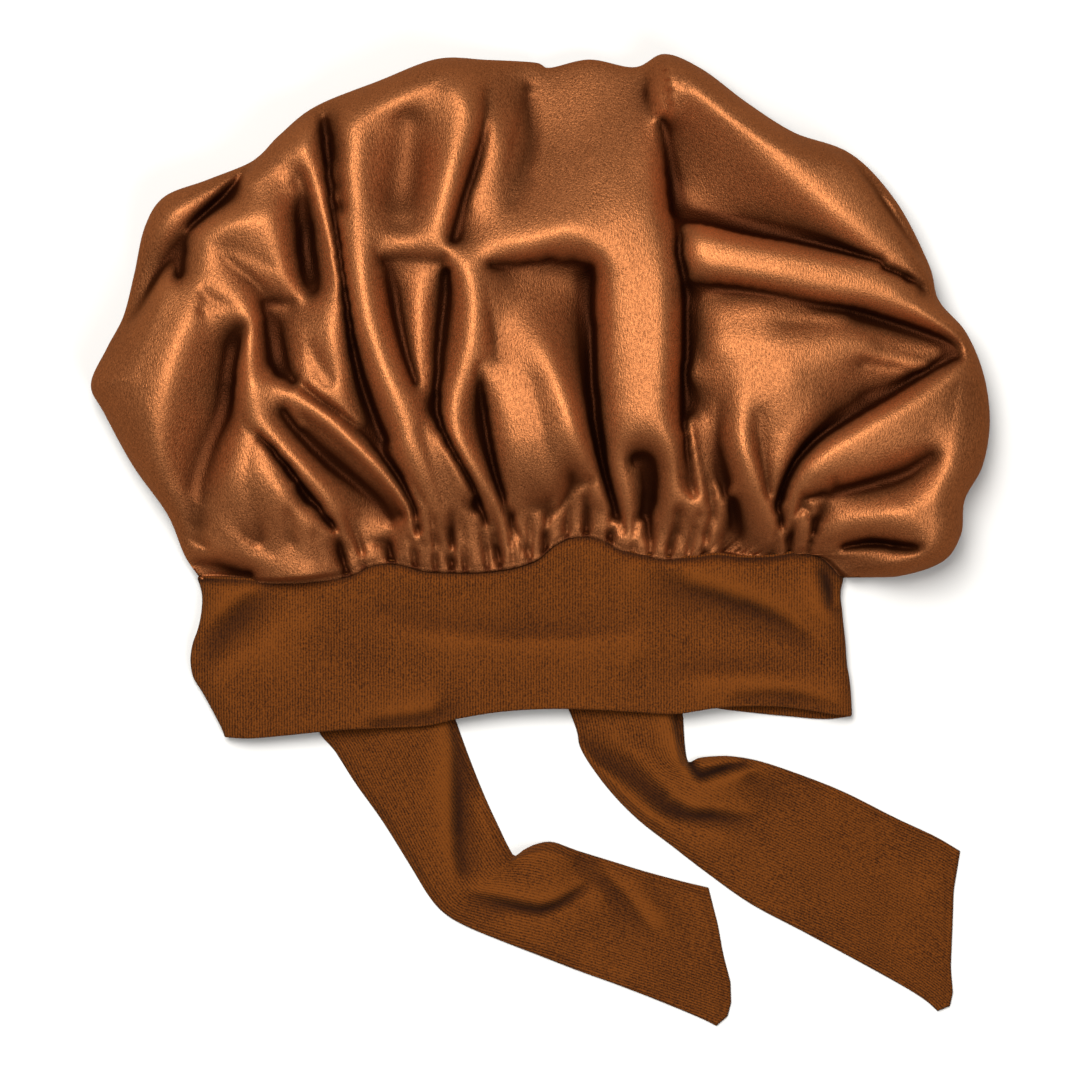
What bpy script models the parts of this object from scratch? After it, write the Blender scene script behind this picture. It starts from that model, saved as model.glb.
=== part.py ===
"""Sleep bonnet lying on its back: a gathered satin crown, a doubled jersey band and two jersey ties.

Units are metres. +X runs across the band, +Y from the ties to the top of the crown, +Z up from
the surface that the bonnet lies on. The crown is one hollow shell whose only opening is the
gathered rim, the band is a flattened open tube sewn to that rim, and the ties are flat strips.
"""
import math

import bpy
import numpy as np

# Crown sizes
CROWN_WIDTH = 0.340
CROWN_LENGTH = 0.1985
CROWN_LOFT = 0.045
EDGE_LOFT = 0.033
SLOPE_REACH = 0.070
PUFF_REACH = 0.036
PUFF_SHAPE = 0.75
RIM_HOLD = 0.30
ROLL_DEPTH = 0.024
ROLL_LEVEL = 0.009
UNDER_ROLL = 0.016
SATIN_WALL = 0.0012
FOLD_WALL_FACTOR = 1.3
FOLD_DEPTH = 0.009
FOLD_FLANK = 0.010
FOLD_START = 0.35
LEAST_FLANK = 0.0090
LEAST_CREST = 1.8
GATHER_DEPTH = 0.0022
GATHER_REACH = 0.016
GATHER_START = 0.25
GATHER_COUNT = 17

# Band sizes
BAND_WIDTH = 0.251
BAND_HEIGHT = 0.0608
BAND_FROM_LEFT = 0.0375
SEAM_HEIGHT = 0.019
HEM_HEIGHT = 0.0125
SIDE_HEIGHT = 0.009
SIDE_ROUNDING = 0.009
ARCH_SHAPE = 0.6
JERSEY_WALL = 0.002
WRINKLE_DEPTH = 0.0016
WRINKLE_START = 0.2

# Tie sizes
TIE_LENGTH = 0.180
TIE_WIDTH = 0.050
TIE_WALL = 0.0024
TIE_RIPPLE = 0.003
TIE_RIPPLE_SHIFT = 0.2

# The small gap that sewn pieces keep
SEAM_GAP = 0.0003

# How finely each piece is meshed. Crowding is how much closer the band's columns lie at its
# sides, and the share of the crown's rows that crowd towards its rolled edge.
PATH_SPLITS = 6
CROWN_SPLITS = 3
FRONT_ROWS = 23
BACK_ROWS = 6
EDGE_CROWDING = 0.25
BAND_COLUMNS = 26
BAND_ROWS = 6
SIDE_CROWDING = 0.35
TIE_ROWS = 22
TIE_COLUMNS = 5

# The smallest length that a division allows for
LEAST_LENGTH = 1e-6

# The pleats along the seam stand unevenly: each row shifts them by a share of the band's width,
# at a rate in radians over that width.
GATHER_DRIFT_COLUMNS = ("shift", "rate")
GATHER_DRIFTS = (
    (0.012, 23.0),
    (0.009, 61.0),
)

# Crown outline from the band's left corner round to its right corner, in hundredths of the
# crown's width and length, with the depth of the rolled edge as a share of ROLL_DEPTH.
OUTLINE_COLUMNS = ("across", "along", "roll")
OUTLINE = (
    (12.0, 0.4, 0.30),
    (10.4, 4.5, 0.55),
    (8.5, 12.3, 0.80),
    (4.7, 21.5, 1.00),
    (1.5, 31.5, 1.10),
    (0.0, 37.0, 1.00),
    (1.8, 44.0, 0.95),
    (3.6, 50.0, 0.90),
    (4.8, 58.0, 0.85),
    (6.0, 67.0, 0.80),
    (8.2, 72.8, 0.75),
    (13.0, 76.0, 0.60),
    (18.1, 79.7, 0.60),
    (21.0, 84.5, 0.80),
    (25.0, 90.0, 0.90),
    (32.0, 94.8, 0.90),
    (38.5, 99.0, 0.90),
    (44.0, 98.9, 1.40),
    (49.5, 98.4, 2.20),
    (51.0, 97.4, 2.30),
    (55.5, 99.0, 2.30),
    (60.5, 97.5, 1.80),
    (63.8, 100.0, 1.00),
    (68.0, 97.0, 0.85),
    (73.0, 90.6, 0.80),
    (78.2, 85.0, 0.70),
    (84.5, 81.0, 0.55),
    (89.5, 72.0, 0.55),
    (93.2, 60.0, 0.60),
    (94.3, 53.0, 0.70),
    (97.3, 47.0, 0.80),
    (99.3, 39.0, 0.90),
    (100.0, 30.0, 1.00),
    (99.2, 21.5, 0.95),
    (97.2, 15.0, 0.85),
    (96.8, 8.5, 0.75),
    (94.8, 3.3, 0.65),
    (90.0, 0.5, 0.45),
    (85.4, 0.4, 0.25),
)

# Rise of the gathered seam above the band's own top line, in hundredths of the band's width
# and height. The back of the seam runs straight.
SEAM_COLUMNS = ("across", "rise")
SEAM = (
    (0, 0.0),
    (20, 0.0),
    (24, 3.0),
    (27, 9.0),
    (31, 10.0),
    (35, 6.0),
    (39, 5.0),
    (46, 6.0),
    (50, 9.0),
    (53, 14.0),
    (55, 21.0),
    (57.5, 26.0),
    (60, 27.0),
    (62.5, 25.0),
    (65, 19.0),
    (70, 14.0),
    (77, 13.0),
    (80, 14.5),
    (84, 13.0),
    (89, 13.5),
    (93, 16.0),
    (96.5, 14.0),
    (100, 0.0),
)

# Folds of the crown's front. Each path is in hundredths of the crown's width and length.
# Height is a share of FOLD_DEPTH, negative for a dent. The flanks to the left and right of
# the path are shares of FOLD_FLANK, the crest is 1 for a crease and 2 for a round fold, and
# the fades are the shares of the path over which the fold grows and dies away.
FOLD_COLUMNS = ("path", "height", "left", "right", "crest", "fade_in", "fade_out")
FOLDS = (
    # Upper left: the front lobe before the back one, and its deep pocket
    (((18.5, 80.5), (14.8, 72.5), (11.8, 66.0)), 0.8, 1.4, 0.3, 1.2, 0.1, 0.2),
    (((11.0, 67.0), (10.2, 61.0), (10.0, 55.0)), -0.5, 0.4, 0.4, 1.5, 0.2, 0.2),
    (((17.3, 77.5), (20.5, 68.0), (22.0, 58.0), (22.3, 52.0)), 0.8, 0.4, 2.2, 1.4, 0.1, 0.2),
    (((22.6, 71.0), (23.8, 62.0), (24.4, 53.5)), -1.3, 0.9, 0.8, 1.6, 0.25, 0.25),
    (((18.6, 79.8), (21.2, 82.5), (24.6, 86.5)), 0.3, 0.8, 0.9, 1.5, 0.2, 0.1),
    (((24.6, 86.0), (25.2, 76.0), (26.8, 66.0), (27.5, 57.0)), 0.6, 0.3, 1.5, 1.3, 0.1, 0.1),
    (((26.0, 89.0), (27.2, 76.0), (27.9, 60.0), (28.6, 46.0), (30.6, 31.0)),
     -0.7, 0.5, 0.4, 1.4, 0.1, 0.2),
    # Left: the long side ridge, the panel below it and the diagonal folds
    (((11.2, 60.0), (11.3, 56.0), (12.5, 51.0), (9.8, 40.0), (8.1, 27.0), (8.0, 15.0)),
     0.7, 0.4, 1.9, 1.2, 0.1, 0.25),
    (((11.9, 60.3), (14.6, 55.5), (18.8, 49.8)), 0.5, 0.4, 0.4, 1.2, 0.1, 0.1),
    (((14.5, 60.0), (17.2, 55.6), (20.2, 51.0)), -0.6, 0.7, 0.6, 1.6, 0.2, 0.2),
    (((12.6, 50.8), (15.5, 49.8), (18.6, 49.4)), 0.4, 0.4, 0.9, 1.5, 0.1, 0.1),
    (((18.7, 49.8), (17.7, 40.0), (17.6, 32.0), (18.1, 29.0)), 0.5, 1.2, 0.3, 1.3, 0.1, 0.1),
    (((19.8, 52.0), (20.9, 44.0), (21.8, 36.0)), -0.8, 0.6, 0.7, 1.6, 0.2, 0.2),
    (((18.0, 30.0), (24.0, 19.6), (28.0, 10.5), (30.2, 4.0)), 0.7, 1.5, 0.3, 1.2, 0.1, 0.1),
    (((18.6, 27.5), (22.5, 19.0), (27.2, 9.0)), -0.7, 0.4, 0.5, 1.4, 0.15, 0.2),
    (((18.2, 28.5), (20.3, 20.0), (19.6, 6.0)), 0.5, 1.0, 2.2, 1.7, 0.1, 0.2),
    (((20.6, 38.5), (25.0, 32.0), (30.0, 25.0), (34.0, 16.0), (35.7, 9.0), (35.5, 4.0)),
     0.6, 0.4, 0.4, 1.3, 0.15, 0.1),
    (((25.5, 35.5), (30.0, 28.0), (34.3, 18.0)), -0.6, 0.4, 0.4, 1.4, 0.2, 0.2),
    (((21.6, 35.5), (25.5, 27.0), (31.5, 19.5)), -0.6, 0.5, 0.7, 1.6, 0.2, 0.2),
    (((28.0, 55.0), (27.4, 44.0), (28.0, 33.5)), 0.6, 0.4, 1.7, 1.4, 0.1, 0.2),
    # Centre left: the looped lobe and the broad ridge that runs down from it
    (((28.6, 84.0), (28.7, 76.0), (29.8, 64.0), (31.0, 48.0), (34.5, 30.0), (37.5, 16.0),
      (39.5, 4.0)), 0.9, 0.9, 0.7, 1.7, 0.1, 0.0),
    (((28.8, 85.5), (31.5, 90.0), (36.0, 93.4), (39.6, 96.5)), 0.35, 0.6, 0.8, 1.6, 0.1, 0.1),
    (((40.2, 96.0), (42.2, 91.0), (41.6, 83.0), (39.8, 70.0), (39.3, 61.5)),
     0.7, 0.8, 1.2, 1.7, 0.1, 0.05),
    (((36.0, 89.0), (34.6, 76.0), (34.6, 63.0)), -0.5, 1.4, 1.2, 1.9, 0.2, 0.1),
    (((31.5, 61.2), (35.0, 61.2), (39.3, 60.5)), 0.35, 0.8, 0.3, 1.2, 0.2, 0.1),
    (((39.3, 60.0), (36.9, 54.0), (36.2, 46.0), (36.8, 36.0)), 0.5, 0.5, 0.6, 1.5, 0.1, 0.3),
    # Centre: the pinched line, the pocket under it and the petal panel
    (((40.2, 61.0), (47.0, 60.6), (50.6, 61.4), (53.5, 66.0), (57.3, 58.5), (61.0, 57.4),
      (65.0, 54.8)), 0.6, 1.4, 0.35, 1.3, 0.1, 0.1),
    (((41.8, 60.0), (41.8, 48.0), (40.3, 32.0), (41.6, 20.0), (45.5, 4.0)),
     0.7, 0.5, 0.5, 1.6, 0.05, 0.0),
    (((43.4, 40.0), (44.6, 24.0), (48.2, 5.0)), -0.7, 0.4, 0.4, 1.5, 0.2, 0.1),
    (((48.5, 47.0), (53.5, 34.5), (56.6, 20.0), (57.8, 11.0)), 1.0, 0.4, 2.6, 1.3, 0.15, 0.1),
    (((45.6, 57.0), (50.5, 55.0), (54.6, 51.5)), -1.2, 1.0, 1.6, 1.8, 0.2, 0.2),
    (((54.0, 52.0), (55.4, 36.0), (58.0, 15.0)), -0.9, 0.5, 0.4, 1.4, 0.2, 0.2),
    (((57.3, 57.0), (57.2, 40.0), (57.3, 26.0)), 0.5, 1.3, 0.4, 1.4, 0.1, 0.2),
    (((62.6, 97.0), (62.8, 88.0), (64.0, 72.0), (65.4, 57.0), (65.2, 42.0), (64.8, 30.0)),
     1.0, 0.3, 1.8, 1.2, 0.1, 0.15),
    (((61.0, 24.0), (61.4, 16.0), (61.2, 7.0)), -0.7, 0.6, 0.7, 1.8, 0.2, 0.1),
    (((64.1, 26.0), (64.9, 18.0), (63.6, 5.0)), 0.4, 0.4, 0.4, 1.4, 0.2, 0.0),
    # Right: the dark triangle, the strip with two edges and the folds under it
    (((64.4, 93.0), (65.6, 97.0), (71.5, 88.0), (76.0, 79.5), (82.0, 71.0), (90.5, 60.0)),
     0.6, 1.4, 1.3, 1.7, 0.1, 0.2),
    (((65.6, 88.0), (66.4, 76.0), (67.0, 68.5)), -1.1, 2.0, 0.5, 1.7, 0.15, 0.1),
    (((68.0, 68.0), (76.0, 66.0), (85.0, 62.0)), -0.6, 0.9, 0.5, 1.6, 0.2, 0.3),
    (((64.4, 66.5), (74.0, 63.5), (84.0, 60.0), (88.0, 57.5)), 0.4, 0.3, 1.8, 1.2, 0.05, 0.3),
    (((65.7, 56.7), (75.0, 54.2), (85.0, 51.0), (93.0, 48.0), (97.4, 44.6)),
     0.8, 1.8, 0.3, 1.2, 0.05, 0.2),
    (((97.0, 43.0), (92.0, 39.5), (87.0, 34.0), (80.0, 26.0), (77.0, 20.0), (75.7, 12.0)),
     -0.8, 0.4, 0.5, 1.4, 0.2, 0.1),
    (((97.4, 41.8), (93.0, 37.0), (86.0, 30.0), (79.4, 23.0), (77.7, 16.0), (79.2, 5.0)),
     0.5, 0.9, 0.4, 1.5, 0.1, 0.0),
    (((73.5, 36.0), (71.6, 29.0), (72.2, 23.0), (74.0, 13.0), (76.7, 5.0)),
     0.6, 0.5, 0.6, 1.5, 0.2, 0.0),
    (((68.2, 36.0), (69.2, 22.0), (71.5, 8.0)), -0.8, 0.9, 0.9, 1.8, 0.2, 0.1),
    (((93.0, 28.0), (86.0, 22.6), (79.2, 17.4)), 0.4, 1.0, 0.7, 1.4, 0.2, 0.1),
    (((82.0, 17.0), (88.0, 19.0), (94.0, 25.0)), -0.5, 1.1, 1.2, 1.9, 0.2, 0.2),
    (((96.6, 37.0), (95.6, 26.0), (92.0, 15.0), (88.0, 11.0), (81.5, 9.0)),
     0.6, 1.4, 1.2, 1.8, 0.2, 0.1),
    (((83.8, 6.8), (87.5, 7.0), (92.2, 5.6)), -0.4, 0.3, 0.3, 1.4, 0.2, 0.2),
)

# Band sides at levels below the seam line, in hundredths of the band's width and height
BAND_SIDE_COLUMNS = ("down", "left", "right")
BAND_SIDES = (
    (0, 1.0, 98.6),
    (20, 1.5, 98.3),
    (40, 0.4, 98.8),
    (55, 0.0, 99.2),
    (70, 1.4, 99.6),
    (85, 3.5, 100.0),
    (100, 5.2, 100.0),
)

# Lower edge of the band's front and back layers, in hundredths of its width and height
HEM_COLUMNS = ("across", "front", "back")
HEMS = (
    (0, 99.0, 99.0),
    (4, 99.5, 96.0),
    (9, 97.5, 82.0),
    (14, 94.5, 72.0),
    (33, 91.5, 72.0),
    (39, 86.0, 72.0),
    (46, 82.5, 72.0),
    (53, 81.5, 72.0),
    (66, 83.0, 72.0),
    (72, 84.5, 72.0),
    (79, 81.5, 72.0),
    (84, 81.5, 85.5),
    (90, 83.0, 87.0),
    (97, 85.5, 87.5),
    (100, 86.0, 86.0),
)

# Soft wrinkles of the band's front, with paths in hundredths of its width and height
WRINKLES = (
    (((33.0, 28.0), (50.0, 33.0), (66.0, 28.0)), -0.8, 1.0, 1.0, 1.9, 0.3, 0.3),
    (((72.0, 6.0), (84.0, 22.0), (94.0, 38.0)), -0.9, 0.7, 0.8, 1.8, 0.3, 0.3),
    (((2.0, 52.0), (7.0, 26.0), (12.0, 8.0)), -0.9, 0.8, 0.7, 1.8, 0.2, 0.3),
    (((93.0, 2.0), (95.0, 12.0), (99.0, 4.0)), 0.7, 0.6, 0.6, 1.6, 0.2, 0.2),
)

# Cross sections of the ties from the sewn end to the cut end. Centres are in hundredths of
# TIE_LENGTH from the middle of the sewn end, down and to the right. Turn is in degrees, width
# in hundredths of TIE_WIDTH, lift as a share of TIE_RIPPLE.
TIE_SECTION_COLUMNS = ("across", "down", "turn", "width", "lift")
LEFT_TIE = (
    (0.0, 0.0, 0, 96, 0.0),
    (1.0, 6.0, 5, 101, 0.0),
    (7.0, 18.0, 6, 90, 0.3),
    (12.0, 26.7, 11, 80, 0.7),
    (15.8, 34.0, 15, 76, 0.9),
    (19.5, 38.6, 29, 73, 1.0),
    (24.3, 40.8, 47, 77, 1.0),
    (31.0, 42.6, 62, 83, 0.9),
    (40.0, 45.6, 69, 86, 0.6),
    (50.0, 49.0, 75, 88, 0.3),
    (61.0, 53.0, 84, 93, 0.1),
    (69.5, 56.0, 91, 105, 0.0),
    (72.6, 56.6, 90, 84, 0.0),
)
RIGHT_TIE = (
    (0.0, 0.0, 0, 88, 0.0),
    (0.0, 4.2, 0, 87, 0.0),
    (1.1, 12.4, -4, 82, 0.2),
    (3.6, 16.6, 6, 75, 0.7),
    (7.6, 19.0, 26, 73, 1.0),
    (14.0, 21.9, 46, 82, 1.0),
    (21.7, 25.8, 59, 93, 0.8),
    (31.7, 31.4, 68, 106, 0.5),
    (43.0, 36.7, 74, 111, 0.2),
    (54.7, 42.8, 77, 113, 0.1),
    (67.4, 50.2, 81, 121, 0.0),
    (69.4, 50.8, 84, 104, 0.0),
)

# Where each tie's sewn end sits across the band, in hundredths of the band's width
LEFT_TIE_SEAT = 29.0
RIGHT_TIE_SEAT = 66.0


def column(table, names, name):
    """One named column of a table as an array."""
    return np.array([row[names.index(name)] for row in table], dtype=float)


def smooth_step(t):
    """Rises from 0 to 1 with flat ends as t goes from 0 to 1."""
    t = np.clip(t, 0.0, 1.0)
    return t * t * (3.0 - 2.0 * t)


def glide(at, knots, values):
    """Smooth curve through the knots: cubic pieces whose slopes are those of the neighbours."""
    slopes = np.gradient(values, knots)
    piece = np.clip(np.searchsorted(knots, at, side="right") - 1, 0, len(knots) - 2)
    span = knots[piece + 1] - knots[piece]
    t = (at - knots[piece]) / span
    rise = t * t * (3.0 - 2.0 * t)
    start_bend = t * (1.0 - t) ** 2 * span * slopes[piece]
    end_bend = -t * t * (1.0 - t) * span * slopes[piece + 1]
    return values[piece] * (1.0 - rise) + values[piece + 1] * rise + start_bend + end_bend


def smooth_path(points, pieces):
    """Curve through the points, with that many straight pieces between each two of them."""
    points = np.array(points, dtype=float)
    knots = np.arange(len(points), dtype=float)
    at = np.linspace(0.0, len(points) - 1.0, (len(points) - 1) * pieces + 1)
    return np.stack([glide(at, knots, points[:, axis]) for axis in range(points.shape[1])], axis=1)


def nearest_on_path(x, y, path):
    """Distance to a path, the side of it (1 left, -1 right) and the share along it."""
    best = np.full(x.shape, np.inf)
    side = np.ones(x.shape)
    share = np.zeros(x.shape)
    pieces = len(path) - 1
    for index in range(pieces):
        ax, ay = path[index]
        dx, dy = path[index + 1] - path[index]
        length_squared = max(dx * dx + dy * dy, LEAST_LENGTH ** 2)
        t = np.clip(((x - ax) * dx + (y - ay) * dy) / length_squared, 0.0, 1.0)
        gap_x = x - ax - t * dx
        gap_y = y - ay - t * dy
        gap = gap_x * gap_x + gap_y * gap_y
        closer = gap < best
        best = np.where(closer, gap, best)
        side = np.where(closer, np.where(dx * gap_y - dy * gap_x >= 0.0, 1.0, -1.0), side)
        share = np.where(closer, (index + t) / pieces, share)
    return np.sqrt(best), side, share


def fold_heights(x, y, folds, width, length, depth):
    """Sum of the folds' heights at plan points that are given in metres."""
    total = np.zeros(x.shape)
    for row in folds:
        fold = dict(zip(FOLD_COLUMNS, row))
        points = smooth_path(fold["path"], PATH_SPLITS) * np.array((width, length)) / 100.0
        away, side, share = nearest_on_path(x, y, points)
        flank = np.where(side > 0.0, fold["left"], fold["right"]) * FOLD_FLANK
        crest = max(fold["crest"], LEAST_CREST)
        t = np.clip(away / np.maximum(flank, LEAST_FLANK), 0.0, 1.0)
        fade = np.ones(x.shape)
        if fold["fade_in"] > 0.0:
            fade = fade * smooth_step(share / fold["fade_in"])
        if fold["fade_out"] > 0.0:
            fade = fade * smooth_step((1.0 - share) / fold["fade_out"])
        total += fold["height"] * depth * fade * (1.0 - t ** crest) ** 2
    return total


def band_columns():
    """Shares across the band at which its layers are meshed, a little closer at the sides."""
    even = np.linspace(0.0, 1.0, BAND_COLUMNS + 1)
    crowded = 0.5 - 0.5 * np.cos(math.pi * even)
    return (1.0 - SIDE_CROWDING) * even + SIDE_CROWDING * crowded


def seam_rise(across):
    """Height in plan of the front seam above the band's top line, straight between columns."""
    knots = column(SEAM, SEAM_COLUMNS, "across") / 100.0
    rises = column(SEAM, SEAM_COLUMNS, "rise") / 100.0
    meshed = band_columns()
    return np.interp(across, meshed, glide(meshed, knots, rises)) * BAND_HEIGHT


def side_round(across):
    """Shape of the tube's ends: 1 over the flat middle, falling round to 0 at each side."""
    reach = SIDE_ROUNDING / BAND_WIDTH
    from_side = np.minimum(across, 1.0 - across)
    t = np.clip(1.0 - from_side / reach, 0.0, 1.0)
    return np.sqrt(1.0 - t * t)


def band_front_height(across, down):
    """Outer height of the band's front layer, arched from side to side and lower at the hem."""
    arch = np.sin(math.pi * np.clip(across, 0.0, 1.0)) ** ARCH_SHAPE
    crown_end = SIDE_HEIGHT + (SEAM_HEIGHT - SIDE_HEIGHT) * arch
    hem_end = SIDE_HEIGHT + (HEM_HEIGHT - SIDE_HEIGHT) * arch
    flat = crown_end + (hem_end - crown_end) * down
    middle = SIDE_HEIGHT / 2.0
    return middle + (flat - middle) * side_round(across)


def band_back_height(across):
    """Outer height of the band's back layer: on the floor, rising round at the sides."""
    return SIDE_HEIGHT / 2.0 * (1.0 - side_round(across))


def band_side(down, which):
    """Place in metres of the band's left or right side at a share of its height."""
    levels = column(BAND_SIDES, BAND_SIDE_COLUMNS, "down") / 100.0
    sides = column(BAND_SIDES, BAND_SIDE_COLUMNS, which) / 100.0
    return BAND_FROM_LEFT + BAND_WIDTH * glide(down, levels, sides)


def rim_points():
    """Places of the crown's columns along the rim: x, and share across the band.

    They start one band column in from each side and split each of the band's spaces evenly,
    so that the crown's rim follows the band's rim exactly.
    """
    meshed = band_columns()[1:-1]
    steps = np.arange((len(meshed) - 1) * CROWN_SPLITS + 1) / CROWN_SPLITS
    across = np.interp(steps, np.arange(len(meshed)), meshed)
    left = band_side(np.zeros(across.shape), "left")
    right = band_side(np.zeros(across.shape), "right")
    return left + (right - left) * across, across


def edge_spacing(rows):
    """Shares from 0 to 1 that crowd together near 1, where the cloth rolls over."""
    back = 1.0 - np.linspace(0.0, 1.0, rows + 1)
    scale = 1.0 / (2.0 * EDGE_CROWDING - EDGE_CROWDING ** 2)
    inside = scale * back * back
    outside = scale * EDGE_CROWDING * (2.0 * back - EDGE_CROWDING)
    return 1.0 - np.where(back < EDGE_CROWDING, inside, outside)


def gathers(across, away):
    """Small pleats that stand along the seam and die away from it."""
    shifts = column(GATHER_DRIFTS, GATHER_DRIFT_COLUMNS, "shift")
    rates = column(GATHER_DRIFTS, GATHER_DRIFT_COLUMNS, "rate")
    place = across + sum(shift * np.sin(rate * across) for shift, rate in zip(shifts, rates))
    wave = 0.5 - 0.5 * np.cos(2.0 * math.pi * GATHER_COUNT * place)
    start = smooth_step(away / (GATHER_START * GATHER_REACH))
    return GATHER_DEPTH * wave * start * (1.0 - smooth_step(away / GATHER_REACH))


def crown_surface():
    """Outer surface of the crown: columns across the seam, rows over the front and back.

    With it comes how far inland of the rolled edge each front point lies, from 0 to 1.
    """
    corners = np.stack([column(OUTLINE, OUTLINE_COLUMNS, name) for name in ("across", "along")], axis=1)
    outline = smooth_path(corners, PATH_SPLITS) * np.array((CROWN_WIDTH, CROWN_LENGTH)) / 100.0
    rolls = column(OUTLINE, OUTLINE_COLUMNS, "roll") * ROLL_DEPTH
    run = np.concatenate(([0.0], np.cumsum(np.linalg.norm(np.diff(outline, axis=0), axis=1))))
    run = run / run[-1]
    seam_x, across = rim_points()
    share = np.linspace(0.0, 1.0, len(across))
    edge_x = np.interp(share, run, outline[:, 0])[:, None]
    edge_y = np.interp(share, run, outline[:, 1])[:, None]
    seam_x = seam_x[:, None]
    seam_y = (seam_rise(across) + SEAM_GAP)[:, None]

    # The front, from the seam out to the edge
    out = edge_spacing(FRONT_ROWS)[None, :]
    x = seam_x + (edge_x - seam_x) * out
    y = seam_y + (edge_y - seam_y) * out
    from_seam = np.hypot(x - seam_x, y - seam_y)
    rim_height = band_front_height(across, np.zeros(across.shape))[:, None]
    puff = smooth_step(from_seam / PUFF_REACH) ** PUFF_SHAPE
    away, _, along = nearest_on_path(x, y, outline)
    loft = EDGE_LOFT + (CROWN_LOFT - EDGE_LOFT) * smooth_step(away / SLOPE_REACH)
    field = rim_height + (loft - rim_height) * puff
    settle = smooth_step(from_seam / (FOLD_START * PUFF_REACH))
    field = field + settle * fold_heights(x, y, FOLDS, CROWN_WIDTH, CROWN_LENGTH, FOLD_DEPTH)
    field = field + gathers(across[:, None] + 0.0 * out, from_seam)
    roll = np.interp(along, np.linspace(0.0, 1.0, len(rolls)), rolls)
    t_front = np.clip(away / roll, 0.0, 1.0)
    rolled = ROLL_LEVEL + (field - ROLL_LEVEL) * np.sqrt(1.0 - (1.0 - t_front) ** 2)
    held = smooth_step(from_seam / (RIM_HOLD * PUFF_REACH))
    z = rim_height + (rolled - rim_height) * held
    z = np.where(out >= 1.0, ROLL_LEVEL, z)

    # The back, from the edge in to the straight back seam
    home = edge_spacing(BACK_ROWS)[::-1][None, 1:]
    under_x = seam_x + (edge_x - seam_x) * home
    under_y = SEAM_GAP + (edge_y - SEAM_GAP) * home
    under_away, _, _ = nearest_on_path(under_x, under_y, outline)
    t = np.clip(under_away / UNDER_ROLL, 0.0, 1.0)
    under_z = ROLL_LEVEL * (1.0 - np.sqrt(1.0 - (1.0 - t) ** 2))
    under_z = np.where(home <= 0.0, band_back_height(across)[:, None], under_z)
    surface = np.stack([np.hstack([x, under_x]), np.hstack([y, under_y]), np.hstack([z, under_z])], axis=2)
    inland = np.hstack([smooth_step(t_front), np.zeros(under_x.shape)])
    return surface, inland[:, :, None]


def outward_normals(surface):
    """Unit normals of a grid of points, taken from its neighbours along rows and columns."""
    along_columns = np.gradient(surface, axis=0)
    along_rows = np.gradient(surface, axis=1)
    normals = np.cross(along_columns, along_rows)
    lengths = np.linalg.norm(normals, axis=2, keepdims=True)
    return normals / np.maximum(lengths, LEAST_LENGTH ** 2)


def grid_faces(columns, rows, first, flipped):
    """Quads of a grid of points numbered column by column from first."""
    faces = []
    for i in range(columns - 1):
        for j in range(rows - 1):
            a = first + i * rows + j
            quad = (a, a + rows, a + rows + 1, a + 1)
            faces.append(quad[::-1] if flipped else quad)
    return faces


def border(columns, rows):
    """Numbers of a grid's border points in order round it."""
    loop = [i * rows for i in range(columns)]
    loop += [(columns - 1) * rows + j for j in range(1, rows)]
    loop += [i * rows + rows - 1 for i in range(columns - 2, -1, -1)]
    loop += [j for j in range(rows - 2, 0, -1)]
    return loop


def walled_sheet(name, outer, inner, material):
    """Closed body between an outer and an inner grid, joined round their borders."""
    columns, rows, axes = outer.shape
    count = columns * rows
    points = np.concatenate([outer.reshape(count, axes), inner.reshape(count, axes)])
    faces = grid_faces(columns, rows, 0, False) + grid_faces(columns, rows, count, True)
    loop = border(columns, rows)
    for index, a in enumerate(loop):
        b = loop[(index + 1) % len(loop)]
        faces.append((b, a, a + count, b + count))
    return new_object(name, points, faces, material)


def new_object(name, points, faces, material):
    """Mesh object with smooth shading and one material."""
    mesh = bpy.data.meshes.new(name)
    mesh.from_pydata([tuple(point) for point in points.tolist()], [], faces)
    mesh.materials.append(material)
    mesh.shade_smooth()
    mesh.update()
    made = bpy.data.objects.new(name, mesh)
    bpy.context.scene.collection.objects.link(made)
    return made


def cloth(name, colour, roughness):
    """Plain cloth material."""
    material = bpy.data.materials.new(name)
    material.use_nodes = True
    shader = material.node_tree.nodes["Principled BSDF"]
    shader.inputs["Base Color"].default_value = (*colour, 1.0)
    shader.inputs["Roughness"].default_value = roughness
    shader.inputs["Metallic"].default_value = 0.0
    return material


def make_crown(material):
    """The gathered satin crown, a hollow shell open at its rim.

    The wall is measured square to the cloth at the rolled edge and straight down inland,
    where that keeps the inner side clear of the outer one in the narrow folds.
    """
    outer, inland = crown_surface()
    straight_down = np.array((0.0, 0.0, FOLD_WALL_FACTOR))
    inner = outer - SATIN_WALL * ((1.0 - inland) * outward_normals(outer) + inland * straight_down)
    under = outer.shape[1] - BACK_ROWS
    inner[:, 0, 1] = outer[:, 0, 1]
    inner[:, -1, 1] = outer[:, -1, 1]
    inner[:, under + 1:, 2] = np.maximum(inner[:, under + 1:, 2], SATIN_WALL)
    return walled_sheet("crown", outer, inner, material)


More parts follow.
